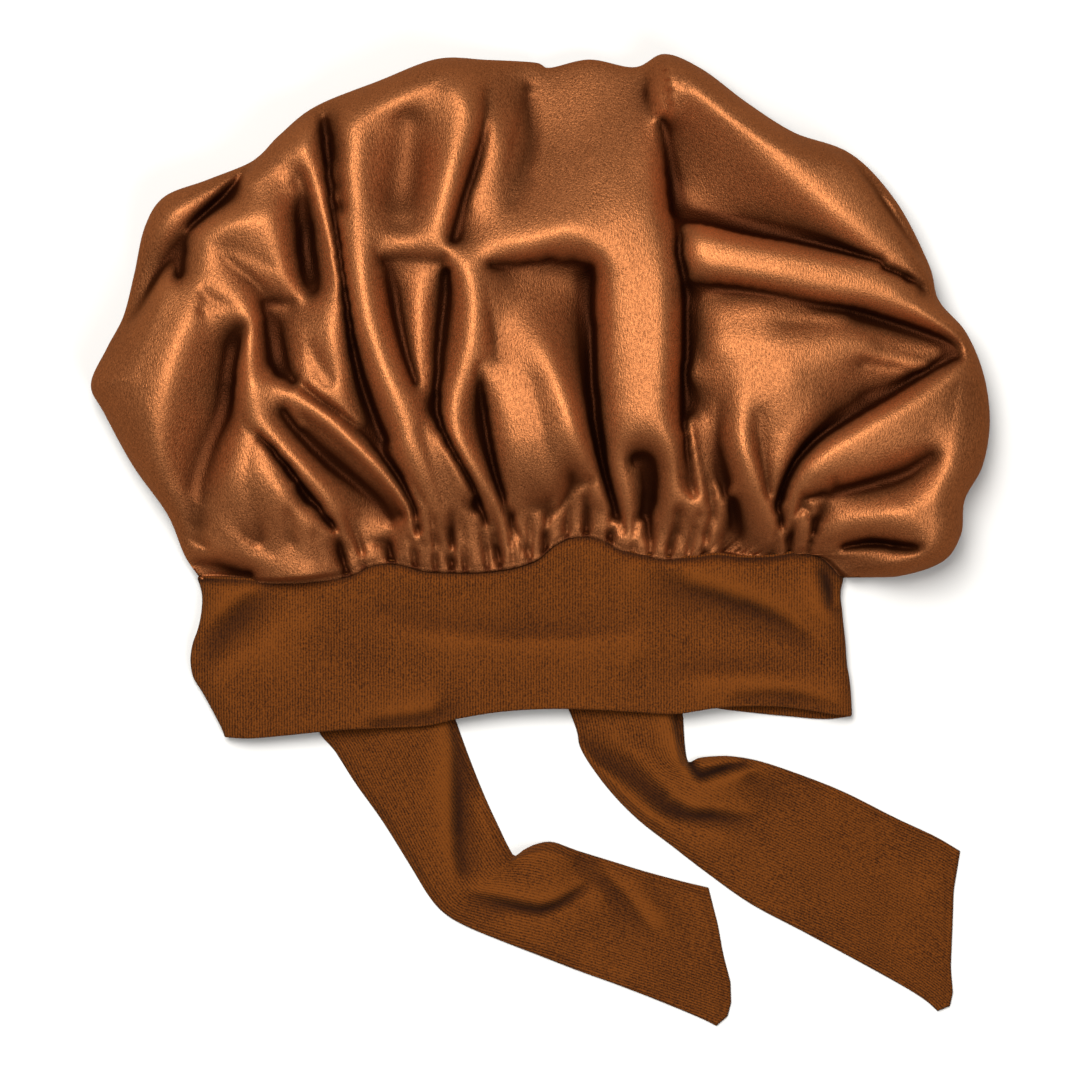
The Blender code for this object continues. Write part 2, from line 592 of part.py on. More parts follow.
def make_band(material):
    """The band: a flattened tube of doubled jersey, open at the crown and at the hem."""
    front_across = band_columns()
    across = np.concatenate([front_across, front_across[::-1][1:-1]])
    is_front = np.arange(len(across)) <= BAND_COLUMNS
    down = np.linspace(0.0, 1.0, BAND_ROWS + 1)[None, :]
    hem_at = column(HEMS, HEM_COLUMNS, "across") / 100.0
    front_hem = np.interp(across, hem_at, column(HEMS, HEM_COLUMNS, "front")) / 100.0
    back_hem = np.interp(across, hem_at, column(HEMS, HEM_COLUMNS, "back")) / 100.0
    top = np.where(is_front, seam_rise(across), 0.0)[:, None]
    hem = -BAND_HEIGHT * np.where(is_front, front_hem, back_hem)[:, None]
    y = top + (hem - top) * down
    level = np.clip(-y / BAND_HEIGHT, 0.0, 1.0)
    left = band_side(level, "left")
    right = band_side(level, "right")
    x = left + (right - left) * across[:, None]
    wrinkle_x = x - BAND_FROM_LEFT
    wrinkles = fold_heights(wrinkle_x, -y, WRINKLES, BAND_WIDTH, BAND_HEIGHT, WRINKLE_DEPTH)
    wrinkles = wrinkles * smooth_step(down / WRINKLE_START) * side_round(across)[:, None]
    front = band_front_height(across[:, None], down) + wrinkles
    back = band_back_height(across)[:, None] + 0.0 * down
    z = np.where(is_front[:, None], front, back)
    outer = np.stack([x, y, z], axis=2)
    ring = np.concatenate([outer[-1:], outer, outer[:1]])
    inner = outer + JERSEY_WALL * outward_normals(ring)[1:-1]
    inner[:, :, 1] = y
    inner[~is_front, :, 2] = np.maximum(inner[~is_front, :, 2], JERSEY_WALL)
    around, rows, axes = outer.shape
    count = around * rows
    points = np.concatenate([outer.reshape(count, axes), inner.reshape(count, axes)])
    faces = []
    for i in range(around):
        for j in range(rows - 1):
            a = i * rows + j
            b = ((i + 1) % around) * rows + j
            faces.append((a, a + 1, b + 1, b))
            faces.append((b + count, b + 1 + count, a + 1 + count, a + count))
        top_a = i * rows
        top_b = ((i + 1) % around) * rows
        hem_a = top_a + rows - 1
        hem_b = top_b + rows - 1
        faces.append((top_b, top_b + count, top_a + count, top_a))
        faces.append((hem_a, hem_a + count, hem_b + count, hem_b))
    return new_object("band", points, faces, material)


def make_tie(name, sections, seat, material):
    """A flat tie whose sewn end lies against the lower edge of the band's back layer."""
    hem_at = column(HEMS, HEM_COLUMNS, "across")
    back_hem = column(HEMS, HEM_COLUMNS, "back") / 100.0
    seat_x = BAND_FROM_LEFT + BAND_WIDTH * seat / 100.0
    seat_y = -BAND_HEIGHT * np.interp(seat, hem_at, back_hem) - SEAM_GAP
    table = smooth_path(sections, PATH_SPLITS)
    at = np.linspace(0.0, len(table) - 1.0, TIE_ROWS + 1)
    knots = np.arange(len(table), dtype=float)
    rows = [np.interp(at, knots, table[:, index]) for index in range(len(TIE_SECTION_COLUMNS))]
    across, down, turn, width, lift = rows
    angle = np.radians(turn)
    half = width / 200.0 * TIE_WIDTH
    side = np.linspace(-1.0, 1.0, TIE_COLUMNS + 1)[:, None]
    centre_x = seat_x + across / 100.0 * TIE_LENGTH
    centre_y = seat_y - down / 100.0 * TIE_LENGTH
    x = centre_x + side * half * np.cos(angle)
    y = centre_y + side * half * np.sin(angle)
    wave = 0.5 + 0.5 * np.cos(math.pi * (side - TIE_RIPPLE_SHIFT)) * np.ones(len(across))
    z = TIE_WALL + TIE_RIPPLE * lift * wave
    top = np.stack([x, y, z], axis=2)[:, ::-1]
    bottom = top - np.array((0.0, 0.0, TIE_WALL))
    return walled_sheet(name, top, bottom, material)


def centre_on_floor(pieces):
    """Moves all pieces so that the middle of their shared box lies over the origin."""
    corners = []
    for piece in pieces:
        corners += [vertex.co.copy() for vertex in piece.data.vertices]
    low = [min(corner[axis] for corner in corners) for axis in range(3)]
    high = [max(corner[axis] for corner in corners) for axis in range(3)]
    for piece in pieces:
        piece.location = (-(low[0] + high[0]) / 2.0, -(low[1] + high[1]) / 2.0, -low[2])


for old in list(bpy.data.objects):
    bpy.data.objects.remove(old)
satin = cloth("satin", (0.36, 0.13, 0.055), 0.38)
jersey = cloth("jersey", (0.19, 0.055, 0.012), 0.85)
bonnet = [
    make_crown(satin),
    make_band(jersey),
    make_tie("tie_left", LEFT_TIE, LEFT_TIE_SEAT, jersey),
    make_tie("tie_right", RIGHT_TIE, RIGHT_TIE_SEAT, jersey),
]
centre_on_floor(bonnet)
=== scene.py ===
"""Looks of the sleep bonnet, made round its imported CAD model. Units are metres, in the model's frame."""
import math

import bpy
import numpy as np
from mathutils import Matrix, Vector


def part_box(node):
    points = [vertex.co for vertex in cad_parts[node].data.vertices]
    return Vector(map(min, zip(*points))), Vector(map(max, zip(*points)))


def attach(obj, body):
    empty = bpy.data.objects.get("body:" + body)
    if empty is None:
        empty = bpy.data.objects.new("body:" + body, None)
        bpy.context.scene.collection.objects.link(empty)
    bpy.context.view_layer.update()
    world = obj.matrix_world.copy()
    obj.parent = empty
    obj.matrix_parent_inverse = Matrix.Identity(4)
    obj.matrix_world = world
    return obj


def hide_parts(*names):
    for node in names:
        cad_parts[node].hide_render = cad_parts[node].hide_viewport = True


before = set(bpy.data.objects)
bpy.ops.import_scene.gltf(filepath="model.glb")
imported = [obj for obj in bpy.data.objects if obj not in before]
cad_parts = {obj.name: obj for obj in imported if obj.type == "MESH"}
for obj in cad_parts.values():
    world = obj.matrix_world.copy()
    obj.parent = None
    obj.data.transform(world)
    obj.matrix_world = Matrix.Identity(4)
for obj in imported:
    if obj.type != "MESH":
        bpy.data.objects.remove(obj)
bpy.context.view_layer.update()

# The head band: a wide tube of doubled stretch jersey that lies flattened. Its top is sewn to the
# gathered crown and its lower edge is a plain fold. The fine wales of the knit run down it.
BAND_WIDTH = 0.251
BAND_HEIGHT = 0.0608
BAND_FROM_LEFT = 0.0375
SEAM_HEIGHT = 0.019
HEM_HEIGHT = 0.0125
SIDE_HEIGHT = 0.009
SIDE_ROUNDING = 0.009
ARCH_SHAPE = 0.6
JERSEY_WALL = 0.002
TUCK_DEPTH = 0.0022
TUCK_REACH = 0.0045
SEAM_SHADE_REACH = 0.003
BAND_FOLD_GAIN = 2.6
BAND_FOLD_SPACING = 0.0009
BAND_FOLD_START = -0.3
BAND_FOLD_END = 1.1
BAND_FOLD_HEM = 1.02
SIDE_MARGIN = 0.0005
SEAM_GAP = 0.0003
FRONT_COLUMNS = 380
BACK_COLUMNS = 90
BAND_ROWS = 84
INNER_ROWS = 8
ROLL_STEPS = 6

# Band sides at levels below the seam line, in hundredths of the band's width and height
BAND_SIDES = {
    "down": (0, 8, 20, 32, 40, 55, 62, 70, 85, 95, 100),
    "left": (1, 1.6, 1.6, 1, 0.3, 0, 0.4, 1.6, 3.6, 4.8, 5.2),
    "right": (98.6, 98.2, 98.4, 98.7, 98.9, 99.2, 99.5, 99.7, 99.9, 100, 100),
}

# Lower edge of the band's front and back layers, in hundredths of its width and height
HEMS = {
    "across": (0, 4, 9, 14, 19, 26, 33, 39, 46, 53, 60, 66, 72, 79, 84, 90, 97, 100),
    "front": (99, 99.5, 98, 96, 94.2, 93, 91.5, 86.5, 82.5, 81, 81.6, 83, 84.3, 80.5, 79.4, 80.2, 84.5, 86),
    "back": (99, 96, 84, 74, 72, 72, 72, 72, 72, 72, 72, 72, 72, 81, 83.6, 86, 87.6, 86),
}

# Rise of the gathered seam above the band's own top line, in hundredths of its width and height
SEAM = {
    "across": (
        0, 20, 24, 27, 31, 35, 39, 46, 50, 53, 55, 57.5, 60, 62.5, 65, 70, 77, 80, 84, 89, 93, 96.5, 100,
    ),
    "rise": (0, 0, 3, 9, 10, 6, 5, 6, 9, 14, 21, 26, 27, 25, 19, 14, 13, 14.5, 13, 13.5, 16, 14, 0),
}

# Soft folds of the band's front. Each row gives the points of a line in hundredths of the band's
# width and height with the cloth's rise there in millimetres, then the line's half width in
# millimetres and how far the cloth bows away from the line over that width.
BAND_LINES = (
    (((27, 8, -0.2), (34, 20, -0.6), (45, 27, -0.8), (56, 28, -0.8), (66, 24, -0.5)), 4, 0),
    (((22, 38, 0.1), (36, 44, 0.3), (52, 47, 0.4), (66, 45, 0.2)), 5, 0),
    (((67, -4, 0.2), (73, 8, -1.3), (80, 16, -1.5), (87, 26, -1.2), (92, 40, -0.5)), 3, 0),
    (((76, -2, 0.6), (83, 7, 0.9), (90, 20, 0.8), (95, 34, 0.4)), 2.5, 0),
    (((68, 56, -0.3), (76, 50, -0.9), (86, 48, -0.6), (94, 52, 0)), 4, 0),
    (((78, 66, 0.5), (88, 68, 0.7), (97, 76, 0.5)), 2.5, 0),
    (((83, 74, -0.3), (91, 73, -0.7), (98, 81, -0.2)), 1.5, 0),
    (((1.5, 52, -0.6), (4, 38, -1.3), (8, 22, -1.3), (12, 9, -0.4)), 2.5, 0),
    (((2, 24, 0.2), (5, 16, 0.6), (9, 6, 0.5)), 1.5, 0),
    (((6, 60, 0.4), (12, 46, 0.8), (16, 30, 0.6)), 4, 0),
    (((94, -6, 0.5), (94.6, 6, 1.1), (95.3, 17, 1.3), (96.2, 24, 1.2), (97.8, 26, 0.6)), 0.8, 0),
    (((95.3, -4, -1), (96.4, 8, -1.4), (96.9, 17, -1), (97.8, 20, -0.4)), 0.8, 0),
    (((98.6, 1, 0.3), (97.6, 11, 0.8), (97.2, 20, 0.8)), 0.6, 0),
    (((10, 86, 0.3), (24, 84, 0.6), (36, 80, 0.7)), 3, 0),
    (((28, 91, -0.5), (34, 88, -0.8), (39, 83, -0.6)), 1.5, 0),
)


def smooth_step(t):
    """Rises from 0 to 1 with flat ends as t goes from 0 to 1."""
    t = np.clip(t, 0.0, 1.0)
    return t * t * (3.0 - 2.0 * t)


def glide(at, knots, values):
    """Smooth curve through the knots: cubic pieces whose slopes are those of the neighbours."""
    knots = np.array(knots, dtype=float)
    values = np.array(values, dtype=float)
    slopes = np.gradient(values, knots)
    piece = np.clip(np.searchsorted(knots, at, side="right") - 1, 0, len(knots) - 2)
    span = knots[piece + 1] - knots[piece]
    t = (at - knots[piece]) / span
    rise = t * t * (3.0 - 2.0 * t)
    start_bend = t * (1.0 - t) ** 2 * span * slopes[piece]
    end_bend = -t * t * (1.0 - t) * span * slopes[piece + 1]
    return values[piece] * (1.0 - rise) + values[piece + 1] * rise + start_bend + end_bend


def smooth_path(points, pieces):
    """Curve through the points, with that many straight pieces between each two of them."""
    points = np.array(points, dtype=float)
    knots = np.arange(len(points), dtype=float)
    at = np.linspace(0.0, len(points) - 1.0, (len(points) - 1) * pieces + 1)
    return np.stack([glide(at, knots, points[:, axis]) for axis in range(points.shape[1])], axis=1)


def nearest_on_path(x, y, path):
    """Distance from each place to a path, and the share along the path of the nearest point."""
    best = np.full(x.shape, np.inf)
    share = np.zeros(x.shape)
    pieces = len(path) - 1
    for index in range(pieces):
        start = path[index]
        step = path[index + 1] - start
        t = ((x - start[0]) * step[0] + (y - start[1]) * step[1]) / max(step[0] ** 2 + step[1] ** 2, 1e-14)
        t = np.clip(t, 0.0, 1.0)
        gap = (x - start[0] - t * step[0]) ** 2 + (y - start[1] - t * step[1]) ** 2
        closer = gap < best
        best = np.where(closer, gap, best)
        share = np.where(closer, (index + t) / pieces, share)
    return np.sqrt(best), share


def bend(field):
    """Sum of the four neighbours less four times the height itself: how much a field bends."""
    padded = np.pad(field, 1, mode="edge")
    return padded[2:, 1:-1] + padded[:-2, 1:-1] + padded[1:-1, 2:] + padded[1:-1, :-2] - 4.0 * field


def rounded(field, rounds):
    """The field after that many turns of weighing each height with its neighbours, 1 to 2 to 1."""
    for _ in range(rounds):
        padded = np.pad(field, 1, mode="edge")
        field = (padded[2:, 1:-1] + 2.0 * field + padded[:-2, 1:-1]) / 4.0
        padded = np.pad(field, 1, mode="edge")
        field = (padded[1:-1, 2:] + 2.0 * field + padded[1:-1, :-2]) / 4.0
    return field


class Taut:
    """Cloth drawn taut between fold lines: a field of heights over a rectangle of the plan.

    On each line the height is given. Elsewhere it is the average of two fields that meet the same
    lines: a stretched membrane, where each height is the mean of its four neighbours, and a bent
    plate, whose bending is spread evenly. Both are found on coarse grids first and then on finer
    ones. At the end the lower of the field and of a well rounded copy is taken, so that crests are
    round and creases stay sharp, as in cloth. A second field, by which the finishes paint shade into
    creases and hollows and highlights onto crests, says how far each place lies below its
    surroundings: its drop below the field rounded over the nearby folds, and the drop of that one
    below a more widely rounded one, each as a share of a full depth.
    """

    GRIDS = (8, 4, 2, 1)
    TURNS = 160
    PATH_PIECES = 5
    LEAST_REACH = 0.6
    WEIGHT_SOFTNESS = 0.15
    PLATE_SHARE = 0.6
    PLATE_PACE = 0.55 / 20.0
    PLATE_TENSION = 0.02
    CREST_BLEND = 0.0003
    LAST_ROUNDS = 2
    NEAR_SHARE = 0.6
    NEAR_ROUNDS = 60
    NEAR_DEPTH = 0.0020
    FAR_ROUNDS = 160
    FAR_DEPTH = 0.0045

    def __init__(self, low, high, lines, spacing, crest_rounds, flat=None):
        self.low = np.array(low, dtype=float)
        self.high = np.array(high, dtype=float)
        membrane = None
        plate = None
        for factor in self.GRIDS:
            step = spacing * factor
            counts = np.ceil((self.high - self.low) / step).astype(int) + 1
            xs = self.low[0] + np.arange(counts[0]) * step
            ys = self.low[1] + np.arange(counts[1]) * step
            plan_x, plan_y = np.meshgrid(xs, ys, indexing="ij")
            held, values = self.pinned(plan_x, plan_y, lines, step)
            if flat is not None:
                unfolded = flat(plan_x, plan_y)
                held = held | unfolded
                values = np.where(unfolded, 0.0, values)
            if membrane is None:
                membrane = np.zeros(plan_x.shape)
                plate = membrane
            else:
                membrane = self.sample(plan_x, plan_y, membrane)
                plate = self.sample(plan_x, plan_y, plate)
            self.step = step
            membrane = np.where(held, values, membrane)
            plate = np.where(held, values, plate)
            for _ in range(self.TURNS):
                membrane = np.where(held, values, membrane + bend(membrane) / 4.0)
                bent = bend(plate)
                change = self.PLATE_PACE * bend(bent) - self.PLATE_TENSION * bent
                plate = np.where(held, values, plate - change)
        field = (1.0 - self.PLATE_SHARE) * membrane + self.PLATE_SHARE * plate
        wide = rounded(field, crest_rounds)
        lower = 0.5 * (field + wide - np.sqrt((field - wide) ** 2 + self.CREST_BLEND ** 2))
        self.field = rounded(lower, self.LAST_ROUNDS)
        # Field for painted shading: positive where a place lies below its rounded surroundings (painted
        # shade), negative on crests (painted highlight)
        nearby = rounded(self.field, self.NEAR_ROUNDS)
        around = rounded(nearby, self.FAR_ROUNDS)
        self.painted_shading = self.NEAR_SHARE * (nearby - self.field) / self.NEAR_DEPTH
        self.painted_shading += (1.0 - self.NEAR_SHARE) * (around - self.field) / self.FAR_DEPTH

    def pinned(self, plan_x, plan_y, lines, step):
        """Which grid places lie on a line, and the heights there, weighed where lines meet."""
        weights = np.zeros(plan_x.shape)
        sums = np.zeros(plan_x.shape)
        for points, half_width, bow in lines:
            path = smooth_path(points, self.PATH_PIECES)
            reach = max(half_width, self.LEAST_REACH * step)
            first = np.floor((path[:, :2].min(axis=0) - reach - self.low) / step).astype(int)
            last = np.ceil((path[:, :2].max(axis=0) + reach - self.low) / step).astype(int) + 1
            box = tuple(slice(max(a, 0), max(b, 0)) for a, b in zip(first, last))
            if plan_x[box].size == 0:
                continue
            away, share = nearest_on_path(plan_x[box], plan_y[box], path[:, :2])
            height = np.interp(share, np.linspace(0.0, 1.0, len(path)), path[:, 2])
            height = height - bow * (away / reach) ** 2
            weight = 1.0 / (away + self.WEIGHT_SOFTNESS * step) ** 2
            weight = np.where(away <= reach, weight, 0.0)
            weights[box] += weight
            sums[box] += weight * height
        return weights > 0.0, sums / np.maximum(weights, 1e-12)

    def sample(self, x, y, field=None):
        """Height at any places, straight between the grid's places."""
        field = self.field if field is None else field
        i = np.clip((x - self.low[0]) / self.step, 0.0, field.shape[0] - 1.001)
        j = np.clip((y - self.low[1]) / self.step, 0.0, field.shape[1] - 1.001)
        i0 = i.astype(int)
        j0 = j.astype(int)
        u = i - i0
        v = j - j0
        near = field[i0, j0] * (1.0 - v) + field[i0, j0 + 1] * v
        far = field[i0 + 1, j0] * (1.0 - v) + field[i0 + 1, j0 + 1] * v
        return near * (1.0 - u) + far * u


def placed_lines(lines, scale, shift):
    """Lines with their points scaled and shifted, and their half widths and bows in metres."""
    placed = []
    for points, half_width, bow in lines:
        points = np.array(points, dtype=float) * np.array(scale) + np.array(shift)
        placed.append((points, half_width / 1000.0, bow / 1000.0))
    return placed


def scaled_lines(lines, width, length, gain):
    """Lines given in hundredths and millimetres, in metres, with their rises times a gain."""
    scale = (width / 100.0, length / 100.0, 0.001 * gain)
    return placed_lines(lines, scale, (0.0, 0.0, 0.0))


def quads(columns, rows, first=0, closed=False):
    """Faces of a grid of points numbered column by column from first, perhaps closed both ways."""
    i = np.arange(columns if closed else columns - 1)[:, None]
    j = np.arange(rows if closed else rows - 1)[None, :]
    across = (i + 1) % columns
    up = (j + 1) % rows
    corners = (i * rows + j, across * rows + j, across * rows + up, i * rows + up)
    return (np.stack(np.broadcast_arrays(*corners), axis=-1) + first).reshape(-1, 4)


def ring_normals(surface):
    """Unit normals of a grid of points whose columns close into a ring, from its neighbours."""
    ring = np.concatenate([surface[-1:], surface, surface[:1]])
    normals = np.cross(np.gradient(ring, axis=0)[1:-1], np.gradient(surface, axis=1))
    return normals / np.maximum(np.linalg.norm(normals, axis=2, keepdims=True), 1e-12)


def crowded_shares(count, crowding):
    """Shares from 0 to 1, a mix of even ones and ones that follow a cosine, which crowd at both ends."""
    even = np.linspace(0.0, 1.0, count + 1)
    return (1.0 - crowding) * even + crowding * (0.5 - 0.5 * np.cos(math.pi * even))


def linked_object(name, data):
    """New object for a mesh, light or camera, linked into the scene."""
    made = bpy.data.objects.new(name, data)
    bpy.context.scene.collection.objects.link(made)
    return made


def cloth_piece(name, points, faces, uv, depth):
    """Smooth mesh object with a UV map that gives each point's place on the flat cloth in metres.

    The depth attribute, by which the finishes paint shade into hollows and creases and highlights onto
    crests, is positive in hollows and creases and negative on crests.
    """
    mesh = bpy.data.meshes.new(name)
    mesh.from_pydata(points.tolist(), [], faces)
    mesh.update()
    corners = np.zeros(len(mesh.loops), dtype=np.int32)
    mesh.loops.foreach_get("vertex_index", corners)
    layer = mesh.uv_layers.new(name="cloth")
    layer.data.foreach_set("uv", uv[corners].astype(np.float32).ravel())
    attribute = mesh.attributes.new("depth", "FLOAT", "POINT")
    attribute.data.foreach_set("value", depth.astype(np.float32))
    mesh.shade_smooth()
    return linked_object(name, mesh)


def seam_rise(across):
    """Height in plan of the front seam above the band's top line."""
    return glide(across * 100.0, SEAM["across"], SEAM["rise"]) / 100.0 * BAND_HEIGHT


def side_round(across):
    """Shape of the tube's ends: 1 over the flat middle, falling round to 0 at each side."""
    from_side = np.minimum(across, 1.0 - across) * BAND_WIDTH
    t = np.clip(1.0 - from_side / SIDE_ROUNDING, 0.0, 1.0)
    return np.sqrt(1.0 - t * t)


def band_front_height(across, down):
    """Outer height of the band's front layer, arched from side to side and lower at the hem."""
    arch = np.sin(math.pi * np.clip(across, 0.0, 1.0)) ** ARCH_SHAPE
    crown_end = SIDE_HEIGHT + (SEAM_HEIGHT - SIDE_HEIGHT) * arch
    hem_end = SIDE_HEIGHT + (HEM_HEIGHT - SIDE_HEIGHT) * arch
    middle = SIDE_HEIGHT / 2.0
    return middle + (crown_end + (hem_end - crown_end) * down - middle) * side_round(across)


def band_back_height(across):
    """Outer height of the band's back layer: on the floor, rising round at the sides."""
    return SIDE_HEIGHT / 2.0 * (1.0 - side_round(across))


def band_side(level, which):
    """Place of the band's left or right side at a share of its height."""
    return BAND_FROM_LEFT + BAND_WIDTH * glide(level * 100.0, BAND_SIDES["down"], BAND_SIDES[which]) / 100.0


# The model's frame puts the middle of the bonnet's box over the origin
SHIFT_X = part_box("band")[0][0] - band_side(np.linspace(0.0, 1.0, 41), "left").min()
SHIFT_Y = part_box("crown")[0][1] - SEAM_GAP

# Columns run round the tube: over the front from left to right, then back under it. They crowd
# at the sides, where the tube turns over.
around = np.concatenate([crowded_shares(FRONT_COLUMNS, 0.3), crowded_shares(BACK_COLUMNS, 1.0)[-2:0:-1]])
is_front = (np.arange(len(around)) <= FRONT_COLUMNS)[:, None]
down = np.linspace(0.0, 1.0, BAND_ROWS + 1)[None, :]
front_hem = glide(around * 100.0, HEMS["across"], HEMS["front"]) / 100.0
back_hem = glide(around * 100.0, HEMS["across"], HEMS["back"]) / 100.0
band_top = np.where(is_front, seam_rise(around)[:, None], 0.0)
band_hem = JERSEY_WALL / 2.0 - BAND_HEIGHT * np.where(is_front, front_hem[:, None], back_hem[:, None])
band_y = band_top + (band_hem - band_top) * down
level = np.clip(-band_y / BAND_HEIGHT, 0.0, 1.0)
band_left = band_side(level, "left")
band_x = band_left + (band_side(level, "right") - band_left) * around[:, None]

# The folds die out at the tube's sides and just past its lower edge
band_folds = Taut(
    (0.0, BAND_FOLD_START * BAND_HEIGHT),
    (BAND_WIDTH, BAND_FOLD_END * BAND_HEIGHT),
    scaled_lines(BAND_LINES, BAND_WIDTH, BAND_HEIGHT, BAND_FOLD_GAIN),
    spacing=BAND_FOLD_SPACING,
    crest_rounds=6,
    flat=lambda x, y: (np.minimum(x, BAND_WIDTH - x) <= SIDE_MARGIN) | (y >= BAND_FOLD_HEM * BAND_HEIGHT),
)
inside = side_round(around)[:, None]
folded = band_folds.sample(band_x - BAND_FROM_LEFT, -band_y) * inside
tuck = TUCK_DEPTH * (1.0 - smooth_step((band_top - band_y) / TUCK_REACH)) * inside
band_front = band_front_height(around[:, None], down) + folded - tuck
band_z = np.where(is_front, band_front, band_back_height(around)[:, None])
band_outer = np.stack([band_x + SHIFT_X, band_y + SHIFT_Y, band_z], axis=2)
outward = -ring_normals(band_outer)
outward[:, :, 1] = 0.0
outward = outward / np.linalg.norm(outward, axis=2, keepdims=True)


def rolled_rim(edge, normal, direction):
    """Half circle of points from the outer face round a rim to the inner face."""
    turn = np.linspace(0.0, math.pi, ROLL_STEPS + 1)[None, 1:-1, None]
    middle = (edge - normal * JERSEY_WALL / 2.0)[:, None, :]
    ahead = np.array((0.0, direction, 0.0))
    return middle + JERSEY_WALL / 2.0 * (np.cos(turn) * normal[:, None, :] + np.sin(turn) * ahead)


inner_at = np.linspace(BAND_ROWS, 0, INNER_ROWS + 1).astype(int)
band_inner = (band_outer - outward * JERSEY_WALL)[:, inner_at]
band_inner[~is_front[:, 0], :, 2] = np.maximum(band_inner[~is_front[:, 0], :, 2], JERSEY_WALL)
band_loop = np.concatenate(
    [
        band_outer,
        rolled_rim(band_outer[:, -1], outward[:, -1], -1.0),
        band_inner,
        rolled_rim(band_outer[:, 0], outward[:, 0], 1.0)[:, ::-1],
    ],
    axis=1,
)
band_loop[:, :, 2] = np.maximum(band_loop[:, :, 2], 0.0)
columns, rows, _ = band_loop.shape
band_uv = np.stack([band_loop[:, :, 0] - SHIFT_X, band_loop[:, :, 1] - SHIFT_Y], axis=2).reshape(-1, 2)
band_faces = quads(columns, rows, closed=True)[:, ::-1].tolist()
band_painted_shading = np.zeros((columns, rows))
# Painted shading of the band's front: shade in its creases, highlight on its crests
band_front_shading = band_folds.sample(band_x - BAND_FROM_LEFT, -band_y, band_folds.painted_shading) * inside
# Painted shadow along the top of the band, under the crown's seam
band_front_shading += 1.0 - smooth_step((band_top - band_y) / SEAM_SHADE_REACH)
band_painted_shading[:, : BAND_ROWS + 1] = np.where(is_front, band_front_shading, 0.0)
band = cloth_piece("head_band", band_loop.reshape(-1, 3), band_faces, band_uv, band_painted_shading.ravel())


class Signal:
    """A shader socket that takes part in sums, so that shader maths reads as formulas."""

    def __init__(self, tree, socket):
        self.tree = tree
        self.socket = socket

    def combined(self, operation, first, second):
        """The result of one maths node on two items, each a signal or a number."""
        made = self.tree.nodes.new("ShaderNodeMath")
        made.operation = operation
        for place, item in zip(made.inputs, (first, second)):
            if isinstance(item, Signal):
                self.tree.links.new(item.socket, place)
            else:
                place.default_value = item
        return Signal(self.tree, made.outputs[0])

    def __add__(self, other):
        return self.combined("ADD", self, other)

    def __radd__(self, other):
        return self.combined("ADD", other, self)

    def __sub__(self, other):
        return self.combined("SUBTRACT", self, other)

    def __rsub__(self, other):
        return self.combined("SUBTRACT", other, self)

    def __mul__(self, other):
        return self.combined("MULTIPLY", self, other)

    def __rmul__(self, other):
        return self.combined("MULTIPLY", other, self)


class Finish:
    """The finish of one cloth: a material whose nodes are made one by one."""

    def __init__(self, name, constants):
        self.material = bpy.data.materials.new(name)
        self.material.use_nodes = True
        self.tree = self.material.node_tree
        self.shader = self.tree.nodes["Principled BSDF"]
        for socket, value in constants.items():
            self.shader.inputs[socket].default_value = value

    def node(self, kind, settings, sockets, output=0):
        """A node of a kind, with its settings and the values or links of its sockets."""
        made = self.tree.nodes.new(kind)
        for setting, value in settings.items():
            setattr(made, setting, value)
        for socket, value in sockets.items():
            if isinstance(value, Signal):
                self.tree.links.new(value.socket, made.inputs[socket])
            else:
                made.inputs[socket].default_value = value
        return Signal(self.tree, made.outputs[output])

    def into(self, socket, signal):
        """Links a signal to one of the shader's sockets."""
        self.tree.links.new(signal.socket, self.shader.inputs[socket])


def colour_mix(finish, factor, low, high):
    """Colour between two others."""
    sockets = {0: factor, 6: low, 7: high}
    return finish.node("ShaderNodeMix", {"data_type": "RGBA"}, sockets, output=2)


def noise(finish, place, scale, detail):
    """Cloudy noise about one half over the coordinates of a place."""
    sockets = {"Vector": place, "Scale": scale, "Detail": detail}
    return finish.node("ShaderNodeTexNoise", {}, sockets)


def painted_highlight_and_shade(finish):
    """Factors for painted highlight and painted shade: how far a place stands on a crest, and how far it lies
    sunk in creases and hollows, from the depth attribute.
    """
    depth = finish.node("ShaderNodeAttribute", {"attribute_name": "depth"}, {}, output=2)
    crest = finish.node("ShaderNodeMath", {"operation": "MAXIMUM"}, {0: 0.0 - depth, 1: 0.0})
    painted_shading = finish.node("ShaderNodeMath", {"operation": "MAXIMUM"}, {0: depth, 1: 0.0})
    return crest, painted_shading


